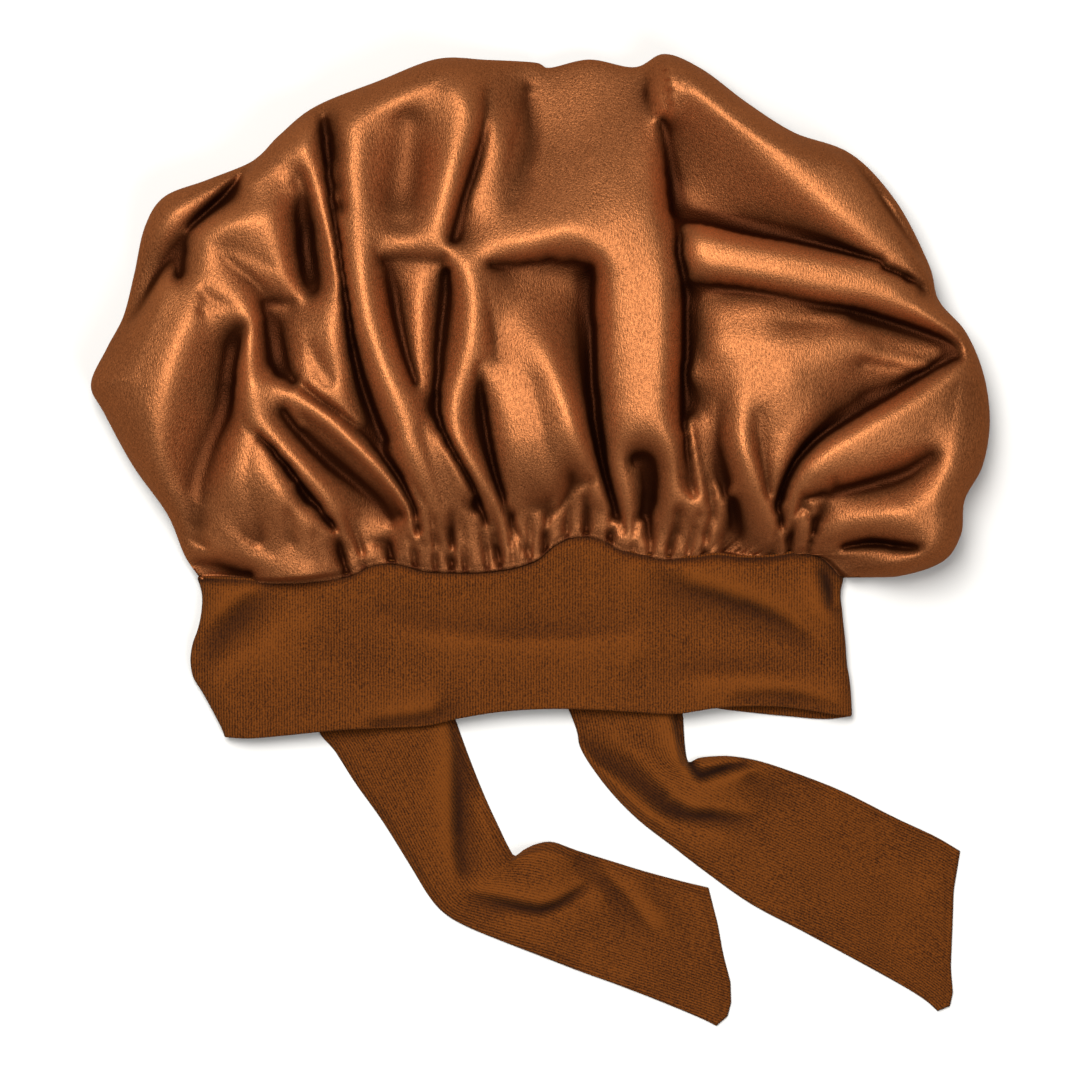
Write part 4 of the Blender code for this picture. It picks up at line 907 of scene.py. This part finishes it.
outline = smooth_path(OUTLINE, 8)
outline_rolls = outline[:, 2] * ROLL_DEPTH
outline = outline[:, :2] * np.array((CROWN_WIDTH, CROWN_LENGTH)) / 100.0
outline_run = np.concatenate(([0.0], np.cumsum(np.linalg.norm(np.diff(outline, axis=0), axis=1))))
outline_run = outline_run / outline_run[-1]


def pleat_lines():
    """Creases of the gathers, as fold lines that start in the seam, with a round pleat between each two.

    They lean outwards from the middle of the seam. Their lengths, depths and leans vary by sines
    of their numbers.
    """
    lines = []
    starts = np.array(PLEATS) / 100.0 * CROWN_WIDTH
    order = np.arange(len(starts))
    length = CREASE_LENGTH * (1.0 + np.abs(np.sin(2.9 * order + 0.5))) + 0.004 * np.sin(1.7 * order)
    depth = CREASE_DEPTH + 0.0016 * np.sin(4.1 * order)
    lean = (starts / CROWN_WIDTH - SEAM_MIDDLE) * CREASE_LEAN + 0.12 * np.sin(5.3 * order)
    root = seam_rise((starts - BAND_FROM_LEFT) / BAND_WIDTH)
    steps = np.linspace(0.0, 1.0, 4)
    for k in order:
        x = starts[k] + lean[k] * length[k] * steps ** 1.5
        fall = -depth[k] * np.array((1.0, 1.0, 0.7, 0.1))
        lines.append((np.column_stack([x, root[k] + length[k] * steps, fall]), CREASE_HALF_WIDTH, 0.0))
    for k in order[:-1]:
        gap = starts[k + 1] - starts[k]
        if gap < WIDEST_PLEAT:
            reach = 0.8 * min(length[k], length[k + 1])
            x = (starts[k] + starts[k + 1]) / 2.0 + (lean[k] + lean[k + 1]) / 2.0 * reach * steps ** 1.5
            y = (root[k] + root[k + 1]) / 2.0 + reach * steps
            lines.append((np.column_stack([x, y, PLEAT_RISE]), min(PLEAT_HALF_WIDTH, 0.3 * gap), PLEAT_BOW))
    return lines


crown_folds = Taut(
    (-FOLD_MARGIN, -FOLD_MARGIN),
    (CROWN_WIDTH + FOLD_MARGIN, CROWN_LENGTH + FOLD_MARGIN),
    scaled_lines(CROWN_LINES, CROWN_WIDTH, CROWN_LENGTH, CROWN_FOLD_GAIN) + pleat_lines(),
    spacing=CROWN_FOLD_SPACING,
    crest_rounds=30,
)


def seam_and_edge(across):
    """Where each column starts across the seam, and where it meets the outline, in plan."""
    share = (across - across[0]) / (across[-1] - across[0])
    edge_x = np.interp(share, outline_run, outline[:, 0])[:, None]
    edge_y = np.interp(share, outline_run, outline[:, 1])[:, None]
    left = band_side(np.zeros(across.shape), "left")
    right = band_side(np.zeros(across.shape), "right")
    return (left + (right - left) * across)[:, None], edge_x, edge_y


def crown_front(across, out, folds=True):
    """Front of the crown at a share across the seam and a share out from it to the edge.

    Straight columns run out in plan from the seam to the outline. The height is a low dome, plus
    the folds and pleats, rolled over in a quarter of an ellipse near the outline and drawn down to
    the band's height at the seam.
    """
    seam_x, edge_x, edge_y = seam_and_edge(across)
    seam_y = (seam_rise(across) + SEAM_GAP - SEAM_OVERLAP)[:, None]
    x = seam_x + (edge_x - seam_x) * out
    y = seam_y + (edge_y - seam_y) * out
    from_seam = np.hypot(x - seam_x, y - seam_y)
    rim = (band_front_height(across, 0.0) - CROWN_TUCK * side_round(across))[:, None]
    puff = smooth_step(from_seam / PUFF_REACH) ** PUFF_SHAPE
    away, along = nearest_on_path(x, y, outline)
    loft = EDGE_LOFT + (CROWN_LOFT - EDGE_LOFT) * smooth_step(away / SLOPE_REACH)
    height = rim + (loft - rim) * puff
    if folds:
        height = height + smooth_step(from_seam / FOLDS_START) * crown_folds.sample(x, y)
        height = height + gather_pleats(across[:, None] + 0.0 * out, from_seam)
    roll = np.interp(along, np.linspace(0.0, 1.0, len(outline_rolls)), outline_rolls)
    t = np.clip(away / roll, 0.0, 1.0)
    rolled = ROLL_LEVEL + (height - ROLL_LEVEL) * np.sqrt(1.0 - (1.0 - t) ** 2)
    z = rim + (rolled - rim) * smooth_step(from_seam / PUFF_START)
    z = np.where(out >= 1.0, ROLL_LEVEL, z)
    return np.stack([x, y, z], axis=2)


def crown_under(across, home):
    """Back of the crown at a share out from the straight back seam: flat, rolled up at the edge."""
    seam_x, edge_x, edge_y = seam_and_edge(across)
    x = seam_x + (edge_x - seam_x) * home
    y = SEAM_GAP + (edge_y - SEAM_GAP) * home
    away, _ = nearest_on_path(x, y, outline)
    t = np.clip(away / UNDER_ROLL, 0.0, 1.0)
    z = ROLL_LEVEL * (1.0 - np.sqrt(1.0 - (1.0 - t) ** 2))
    z = np.where(home <= 0.0, band_back_height(across)[:, None], z)
    return np.stack([x, y, z], axis=2)


def joined_borders(fine, coarse, step, turned):
    """Faces between a border and a coarser copy of it, which has one point for every few of the fine one."""
    faces = []
    for k in range(len(coarse) - 1):
        face = fine[step * k : step * (k + 1) + 1].tolist() + [int(coarse[k + 1]), int(coarse[k])]
        faces.append(face[::-1] if turned else face)
    return faces


# Columns run from the front seam out to the edge and back under, closer together at the sides
rim_at = RIM_START + (1.0 - 2.0 * RIM_START) * crowded_shares(CROWN_COLUMNS, 0.2)
front_out = edge_spacing(CROWN_ROWS)[None, :]
under_home = edge_spacing(UNDER_ROWS)[::-1][None, 1:]
crown_outer = np.concatenate([crown_front(rim_at, front_out), crown_under(rim_at, under_home)], axis=1)

# The lining side is a coarser and plainer copy of the outer side. It meets it at the rim, one wall
# further in, and drops away from it within its first rows.
lining_at = rim_at[::LINING_STEP]
lining_front = crown_front(lining_at, edge_spacing(LINING_ROWS)[None, :], folds=False)
lining_front[:, :-1, 2] -= LINING_DROP * smooth_step(np.linspace(0.45, 4.0, LINING_ROWS + 1))[None, :-1]
lining_front[:, :, 2] = np.maximum(lining_front[:, :, 2], LINING_LOWEST)
lining_under = crown_under(lining_at, edge_spacing(LINING_UNDER_ROWS)[::-1][None, 1:])
lining = np.concatenate([lining_front, lining_under], axis=1)
lining[:, 1:-1, 2] = np.maximum(lining[:, 1:-1, 2], SATIN_WALL)
middle = lining.mean(axis=(0, 1))
lining[:, LINING_ROWS, :2] += (middle[:2] - lining[:, LINING_ROWS, :2]) * LINING_INSET
lining[:, 0, 2] -= SATIN_WALL
lining[:, -1, 2] += SATIN_WALL

columns, rows, _ = crown_outer.shape
lining_columns, lining_rows, _ = lining.shape
count = columns * rows
lining_faces = quads(lining_columns, lining_rows, first=count)[:, ::-1]
outer_index = np.arange(count).reshape(columns, rows)
lining_index = count + np.arange(lining_columns * lining_rows).reshape(lining_columns, lining_rows)
crown_faces = quads(columns, rows).tolist() + lining_faces.tolist()
crown_faces += joined_borders(outer_index[:, 0], lining_index[:, 0], LINING_STEP, True)
crown_faces += joined_borders(outer_index[:, -1], lining_index[:, -1], LINING_STEP, False)
left_strip = outer_index[0].tolist() + lining_index[0, ::-1].tolist()
right_strip = outer_index[-1].tolist() + lining_index[-1, ::-1].tolist()
crown_faces += [left_strip, right_strip[::-1]]
crown_points = np.concatenate([crown_outer.reshape(-1, 3), lining.reshape(-1, 3)])
crown_points[:, 0] += SHIFT_X
crown_points[:, 1] += SHIFT_Y
front = crown_outer[:, : CROWN_ROWS + 1]
from_seam = np.hypot(front[:, :, 0] - front[:, :1, 0], front[:, :, 1] - front[:, :1, 1])
crown_painted_shading = np.zeros((columns, rows))
from_edge, _ = nearest_on_path(front[:, :, 0], front[:, :, 1], outline)
# Painted shade in the crown's creases and painted highlight on its crests, faded out near the rolled rim
crease_shading = crown_folds.sample(front[:, :, 0], front[:, :, 1], crown_folds.painted_shading)
crown_painted_shading[:, : CROWN_ROWS + 1] = crease_shading * smooth_step(from_edge / RIM_SHADE_FADE)
# Painted shadow along the front seam, past the lip
seam_shade = (1.0 - smooth_step(from_seam / CROWN_SEAM_SHADE)) * past_lip(rim_at)[:, None]
crown_painted_shading[:, : CROWN_ROWS + 1] += seam_shade
# Painted shade over the whole lining, inside the crown
crown_painted_shading = np.concatenate([crown_painted_shading.ravel(), np.full(lining_columns * lining_rows, LINING_SHADE)])
crown = cloth_piece("satin_crown", crown_points, crown_faces, crown_points[:, :2], crown_painted_shading)


def satin_finish():
    """Copper brown satin: a lustrous twill face with fine grain, with painted shade, darker and redder, in
    its creases and hollows and a painted highlight on its crests.
    """
    finish = Finish("copper_satin", {"Metallic": 0.80, "Specular IOR Level": 0.2})
    finish.shader.inputs["Specular Tint"].default_value = (1.0, 0.72, 0.50, 1.0)
    place = finish.node("ShaderNodeTexCoord", {}, {}, output=3)
    stretch = {"Vector": place, "Rotation": (0.0, 0.0, math.radians(35.0)), "Scale": (1.0, 0.28, 1.0)}
    turned = finish.node("ShaderNodeMapping", {}, stretch)
    twill = noise(finish, turned, 2100.0, 2.0)
    grain = noise(finish, place, 1600.0, 3.0)
    clouds = noise(finish, place, 30.0, 3.0)
    shade = 0.5 + 0.35 * (clouds - 0.5) + 1.1 * (grain - 0.5) + 1.3 * (twill - 0.5)
    crest, painted_shading = painted_highlight_and_shade(finish)
    # Painted highlight: the crests of the folds are made lighter
    shade = shade + 0.22 * crest
    cloth_with_crest_highlight = colour_mix(finish, shade, (0.098, 0.028, 0.009, 1.0), (0.480, 0.174, 0.061, 1.0))
    # Painted shade: creases and hollows are darkened toward dark red browns, the deepest ones darker still
    shaded_cloth = colour_mix(finish, 0.75 * painted_shading, cloth_with_crest_highlight, (0.056, 0.014, 0.0040, 1.0))
    colour = colour_mix(finish, 0.7 * (painted_shading - 1.0), shaded_cloth, (0.024, 0.0056, 0.0016, 1.0))
    finish.into("Base Color", colour)
    finish.into("Roughness", 0.52 + 0.16 * (grain - 0.5) + 0.04 * (clouds - 0.5))
    ripples = noise(finish, turned, 170.0, 3.0)
    height = grain + twill + 0.6 * ripples
    bump = finish.node("ShaderNodeBump", {}, {"Strength": 0.6, "Distance": 0.0004, "Height": height})
    finish.into("Normal", bump)
    return finish.material


crown.data.materials.append(satin_finish())
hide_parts("crown")
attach(crown, "root")

# The ties: two long strips of the band's jersey, each a tube pressed flat, sewn in under the band's
# lower edge. They lie loose on the surface with a slack fold where each one bends.
TIE_WALL = 0.0024
TIE_FOLD_SCALE = 0.0018
TIE_FOLD_SPACING = 0.0007
TIE_EDGE = 0.0016
TIE_RIM = 0.35
THINNEST_TIE = 0.0006
GROOVE_INSIDE = 0.0026
GROOVE_WIDTH = 0.0005
GROOVE_DEPTH = 0.00022
GROOVE_SHADE = 0.0008
SLACK_START = 0.004
DEEPEST_SLACK = 0.0009
CUT_END = 2.2
TIE_ROWS = 190
TIE_COLUMNS = 56
BOTTOM_COLUMN_STEP = 4
BOTTOM_ROW_STEP = 5
BAND_EDGE_Y = -0.06555

# Edges of each tie in plan from its sewn end to its cut end, in millimetres from the middle of
# the bonnet and down from the band's lower edge, and how far the cut end bulges between them
LEFT_TIE = {
    "left_x": (-86, -84, -78, -70, -60, -50, -42, -36, -28, -15, 0, 15, 30, 45, 60, 67),
    "left_down": (-6, 7, 14.5, 27, 41, 57, 70, 76.5, 81.2, 86.6, 92.4, 98.2, 103.6, 109.4, 115.6, 119),
    "right_x": (-36, -32.5, -29.5, -25.4, -20.5, -15.4, -12, -9.6, -6, -1, 5, 14, 27, 40, 55, 64),
    "right_down": (-8, 1.5, 10, 21, 33, 44, 51, 54.4, 52, 49.8, 49.2, 52.4, 56.4, 60.4, 64.4, 66.5),
    "bulge": ((0, 0.25, 0.45, 0.64, 0.79, 0.9, 1), (0, 3, 4.4, 6.8, 6.6, 4.8, 0)),
    "lines": (
        (((-35, -4, 1.2), (-34, 12, 2.4), (-33.8, 30, 2.8), (-33.8, 48, 2.6), (-32.6, 62, 1.8),
          (-29, 74, 0.6)), 0.8, 0.2),
        (((-33, -2, -0.2), (-31.6, 14, -0.7), (-31.2, 32, -0.9), (-31, 48, -0.9), (-29.6, 60, -0.5)), 0.8, 0),
        (((-23, 34, 0.9), (-19, 46, 1.2), (-15, 56, 1)), 1, 0),
        (((-27, 70, 0.4), (-18, 71.6, -0.4), (-8, 73.8, -0.7), (0, 74.8, -0.7), (7, 73, -0.6),
          (13, 69, -0.4), (18, 66, 0)), 0.7, 0),
        (((-24, 67, 1.8), (-14, 68.4, 2.8), (-5, 70.2, 3.2), (2, 70.8, 3.2), (9, 68, 2.6),
          (15, 64.6, 1.6)), 1.2, 0.3),
        (((-10, 78.5, 0.9), (2, 79.4, 1.2), (12, 75, 1.2), (22, 69.6, 0.8)), 2.5, 0),
        (((-9.4, 55.4, 2.8), (-4, 54.6, 3.4), (2, 54.2, 3.2), (8, 56, 2.4)), 1.5, 0),
        (((-14, 52, 1.6), (-12, 60, 2.2), (-6, 64, 3)), 1.5, 0),
        (((17, 57, 0), (24, 64, -0.6), (32, 74, -0.7), (40, 85, -0.3)), 2.5, 0),
        (((26, 60, 0.9), (34, 68, 1.3), (43, 79, 1.1)), 2.5, 0),
        (((44, 66, 0), (54, 78, -0.5), (60, 90, -0.3)), 2.5, 0),
    ),
}
RIGHT_TIE = {
    "left_x": (8, 11, 14, 15.2, 19.5, 27.6, 37.6, 50, 63, 80, 100, 120, 137, 146, 151),
    "left_down": (-8, -1, 7, 13, 20.5, 31, 41, 50.6, 60.6, 72.6, 83.2, 94, 103.4, 109, 113.4),
    "right_x": (54, 54.3, 54.6, 55, 55.8, 57, 60.4, 66, 73, 84, 100, 116, 135, 150, 159.6),
    "right_down": (-9, 0, 6, 12, 17.4, 18.8, 17.2, 16.6, 16.6, 18.6, 24, 30.4, 40, 47, 52.6),
    "bulge": ((0, 0.25, 0.45, 0.7, 0.83, 0.92, 1), (0, -0.4, 1.2, 3, 5.4, 5, 0)),
    "lines": (
        (((48.6, -4, 2.2), (49.6, 2, 2.6), (51.2, 8, 2.9), (53.2, 14, 3.2), (55.6, 20, 3.3),
          (58.4, 24.6, 2.6)), 0.6, 0),
        (((50.6, -2, 0), (52, 5, 0), (53.8, 11.6, 0), (55.6, 16.6, -0.4), (58, 21.4, -0.6),
          (60, 23.6, -0.4)), 0.7, 0),
        (((60.4, 24.4, -0.2), (65, 22.8, -0.5), (71, 20.8, -0.5), (78, 19.6, 0)), 0.7, 0),
        (((61, 27.6, 2.8), (67, 25.6, 3.2), (74, 23.4, 3), (82, 21.8, 1.6)), 1.2, 0.2),
        (((60.6, 19.4, 2.2), (67, 18.6, 2.6), (75, 18.2, 2.2)), 0.8, 0),
        (((15, 9, 0.2), (20, 15, -0.5), (27, 19, -0.7), (36, 25, -0.8), (44, 32, -0.9),
          (52, 35.6, -0.9)), 2, 0),
        (((16, 14, 1.4), (22, 21.4, 2), (31, 29.6, 2.3), (41, 37.4, 2.2), (50, 43.6, 1.6)), 1.4, 0.3),
        (((43, 33, -0.8), (48, 37.4, -1), (56, 38.6, -1), (66, 39.2, -0.9), (74, 40.6, -0.5),
          (80, 41.4, 0)), 1, 0),
        (((50, 32.6, 1.8), (58, 34.6, 2.6), (68, 35.4, 2.4), (78, 36.6, 1.4)), 1.6, 0.2),
        (((30, 8, 1.4), (38, 14, 1.6), (46, 22, 1.8), (53, 29, 2.2)), 3, 0),
        (((46, 43, 1), (56, 46, 1.2), (66, 48, 1.1)), 2.5, 0),
        (((80, 24, 0.4), (88, 30, -0.6), (98, 33, -0.4)), 1.6, 0),
        (((112, 34, 0), (124, 44, -0.6), (136, 50, -0.3)), 3, 0),
        (((148, 66, 0.2), (149, 80, -0.5), (149, 94, -0.2)), 2.5, 0),
    ),
}


def tie_side(edges, side, at, knots):
    """Places along a tie's left or right edge, in the model's frame."""
    x = glide(at, knots, edges[side + "_x"]) / 1000.0
    return x, BAND_EDGE_Y - glide(at, knots, edges[side + "_down"]) / 1000.0


def lowest_nearby(heights, reach):
    """Lowest height within that many rows and columns of each place."""
    for _ in range(reach):
        padded = np.pad(heights, 1, mode="edge")
        sides = (padded[2:, 1:-1], padded[:-2, 1:-1], padded[1:-1, 2:], padded[1:-1, :-2])
        heights = np.minimum.reduce((heights,) + sides)
    return heights


def tie_piece(name, edges):
    """A flat tie: a strip between its two edges, pillowed a little, with its folds and rolled rim.

    The top face is level, with its sides and its cut end rounded off in a quarter of an ellipse. A
    shallow groove runs just inside them, where the seam allowance ends under the cloth. The
    underside lies one wall below the lowest of the heights around it, or on the surface.
    """
    knots = np.arange(len(edges["left_x"]), dtype=float)
    at = np.linspace(0.0, knots[-1], TIE_ROWS + 1)
    left = tie_side(edges, "left", at, knots)
    right = tie_side(edges, "right", at, knots)
    across = crowded_shares(TIE_COLUMNS, 0.55)[:, None]
    x = right[0] + (left[0] - right[0]) * across
    y = right[1] + (left[1] - right[1]) * across
    ahead = np.array((x[:, -1] - x[:, -9], y[:, -1] - y[:, -9])).mean(axis=1)
    ahead = ahead / np.linalg.norm(ahead)
    bulge = np.interp(across[:, 0], *edges["bulge"])[:, None] / 1000.0
    near_end = smooth_step((at - knots[-1] + CUT_END) / CUT_END)[None, :]
    x = x + ahead[0] * bulge * near_end
    y = y + ahead[1] * bulge * near_end
    lines = placed_lines(edges["lines"], (0.001, -0.001, TIE_FOLD_SCALE), (0.0, BAND_EDGE_Y, 0.0))
    low = (x.min() - SLACK_START, y.min() - SLACK_START)
    high = (x.max() + SLACK_START, y.max() + SLACK_START)
    folds = Taut(low, high, lines, TIE_FOLD_SPACING, crest_rounds=4)
    width = np.hypot(left[0] - right[0], left[1] - right[1])[None, :]
    from_side = np.minimum(across, 1.0 - across) * width
    run = np.concatenate(([0.0], np.cumsum(np.hypot(np.diff(left[0]), np.diff(left[1])))))
    from_end = (run[-1] - run)[None, :]
    inland = np.minimum(from_side, from_end)
    t = np.clip(1.0 - inland / TIE_EDGE, 0.0, 1.0)
    edge = np.sqrt(1.0 - t * t)
    groove = np.exp(-((inland - GROOVE_INSIDE) / GROOVE_WIDTH) ** 2) * GROOVE_DEPTH
    slack = smooth_step(inland / SLACK_START) * np.maximum(folds.sample(x, y), -DEEPEST_SLACK)
    top = TIE_WALL * (TIE_RIM + (1.0 - TIE_RIM) * edge) + slack - groove
    face = np.stack([x, y, np.maximum(top, THINNEST_TIE)], axis=2)
    floor_face = face.copy()
    lowest = lowest_nearby(face[:, :, 2], BOTTOM_ROW_STEP)
    floor_face[:, :, 2] = np.maximum(lowest - TIE_WALL, 0.0) * (across * (1.0 - across) > 0.0)
    columns, rows, _ = face.shape
    count = columns * rows
    bottom = floor_face[::BOTTOM_COLUMN_STEP, ::BOTTOM_ROW_STEP]
    bottom_columns, bottom_rows, _ = bottom.shape
    faces = quads(columns, rows)[:, ::-1].tolist()
    faces += quads(bottom_columns, bottom_rows, first=count).tolist()
    top_index = np.arange(count).reshape(columns, rows)
    bottom_index = count + np.arange(bottom_columns * bottom_rows).reshape(bottom_columns, bottom_rows)
    faces += joined_borders(top_index[:, 0], bottom_index[:, 0], BOTTOM_COLUMN_STEP, False)
    faces += joined_borders(top_index[:, -1], bottom_index[:, -1], BOTTOM_COLUMN_STEP, True)
    faces += joined_borders(top_index[0], bottom_index[0], BOTTOM_ROW_STEP, True)
    faces += joined_borders(top_index[-1], bottom_index[-1], BOTTOM_ROW_STEP, False)
    points = np.concatenate([face.reshape(-1, 3), bottom.reshape(-1, 3)])
    flat_across = (across - 0.5) * width + 0.0 * x
    flat = np.stack([flat_across, run[None, :] + 0.0 * x], axis=2)
    bottom_flat = flat[::BOTTOM_COLUMN_STEP, ::BOTTOM_ROW_STEP]
    uv = np.concatenate([flat.reshape(-1, 2), bottom_flat.reshape(-1, 2)])
    # Painted shade in the tie's creases and along its groove, painted highlight on its crests
    depth = folds.sample(x, y, folds.painted_shading) + groove / GROOVE_SHADE
    depth = np.concatenate([depth.ravel(), np.zeros(bottom_columns * bottom_rows)])
    made = cloth_piece(name, points, faces, uv, depth)
    made.data.materials.append(jersey)
    return made


left_tie = tie_piece("left_tie", LEFT_TIE)
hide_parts("tie_left")
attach(left_tie, "root")

right_tie = tie_piece("right_tie", RIGHT_TIE)
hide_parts("tie_right")
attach(right_tie, "root")

# The pale surface that the bonnet lies on, a soft key light high over its upper left, a weaker fill
# from the lower right, and the camera straight above, at the photograph's scale of 0.38 mm to a
# pixel. The surface throws less light back on the cloth than it shows, so the rolled rim stays dark.
GROUND_SIZE = 6.0
CAMERA_HEIGHT = 2.2
VIEW_WIDTH = 0.4104

ground_points = np.array(((-1, -1, 0), (1, -1, 0), (1, 1, 0), (-1, 1, 0))) * GROUND_SIZE / 2.0
ground_mesh = bpy.data.meshes.new("ground")
ground_mesh.from_pydata(ground_points.tolist(), [], [(0, 1, 2, 3)])
ground = linked_object("ground", ground_mesh)
paper = Finish("pale_surface", {"Base Color": (0.58, 0.58, 0.58, 1.0), "Roughness": 0.9})
seen = paper.node("ShaderNodeLightPath", {}, {})
bounce = paper.node("ShaderNodeBsdfDiffuse", {}, {"Color": (0.26, 0.19, 0.14, 1.0)})
shown = Signal(paper.tree, paper.shader.outputs[0])
surface = paper.node("ShaderNodeMixShader", {}, {0: seen, 1: bounce, 2: shown})
paper.tree.links.new(surface.socket, paper.tree.nodes["Material Output"].inputs["Surface"])
ground.data.materials.append(paper.material)


def soft_light(name, place, size, power, colour):
    """A square area light that looks at the origin, under the middle of the bonnet."""
    lamp = bpy.data.lights.new(name, "AREA")
    lamp.shape = "SQUARE"
    lamp.size = size
    lamp.energy = power
    lamp.color = colour
    made = linked_object(name, lamp)
    made.location = place
    from_origin = np.array(place) / np.linalg.norm(place)
    turn = math.atan2(from_origin[0], -from_origin[1])
    made.rotation_euler = (math.acos(from_origin[2]), 0.0, turn)


soft_light("key", (-0.42, 0.66, 2.15), 1.1, 88.0, (1.0, 0.98, 0.94))
soft_light("fill", (0.80, -0.95, 1.85), 0.9, 24.0, (1.0, 0.98, 0.95))
world = bpy.data.worlds.new("studio")
world.use_nodes = True
backdrop = world.node_tree.nodes["Background"].inputs
backdrop["Color"].default_value = (1.0, 1.0, 1.0, 1.0)
backdrop["Strength"].default_value = 0.12
bpy.context.scene.world = world
bpy.context.scene.view_settings.view_transform = "Standard"

camera_data = bpy.data.cameras.new("camera")
camera_data.sensor_width = 36.0
camera_data.lens = 36.0 * CAMERA_HEIGHT / VIEW_WIDTH
camera_data.clip_start = 0.05
camera = linked_object("camera", camera_data)
camera.location = (0.0, 0.0, CAMERA_HEIGHT)
bpy.context.scene.camera = camera
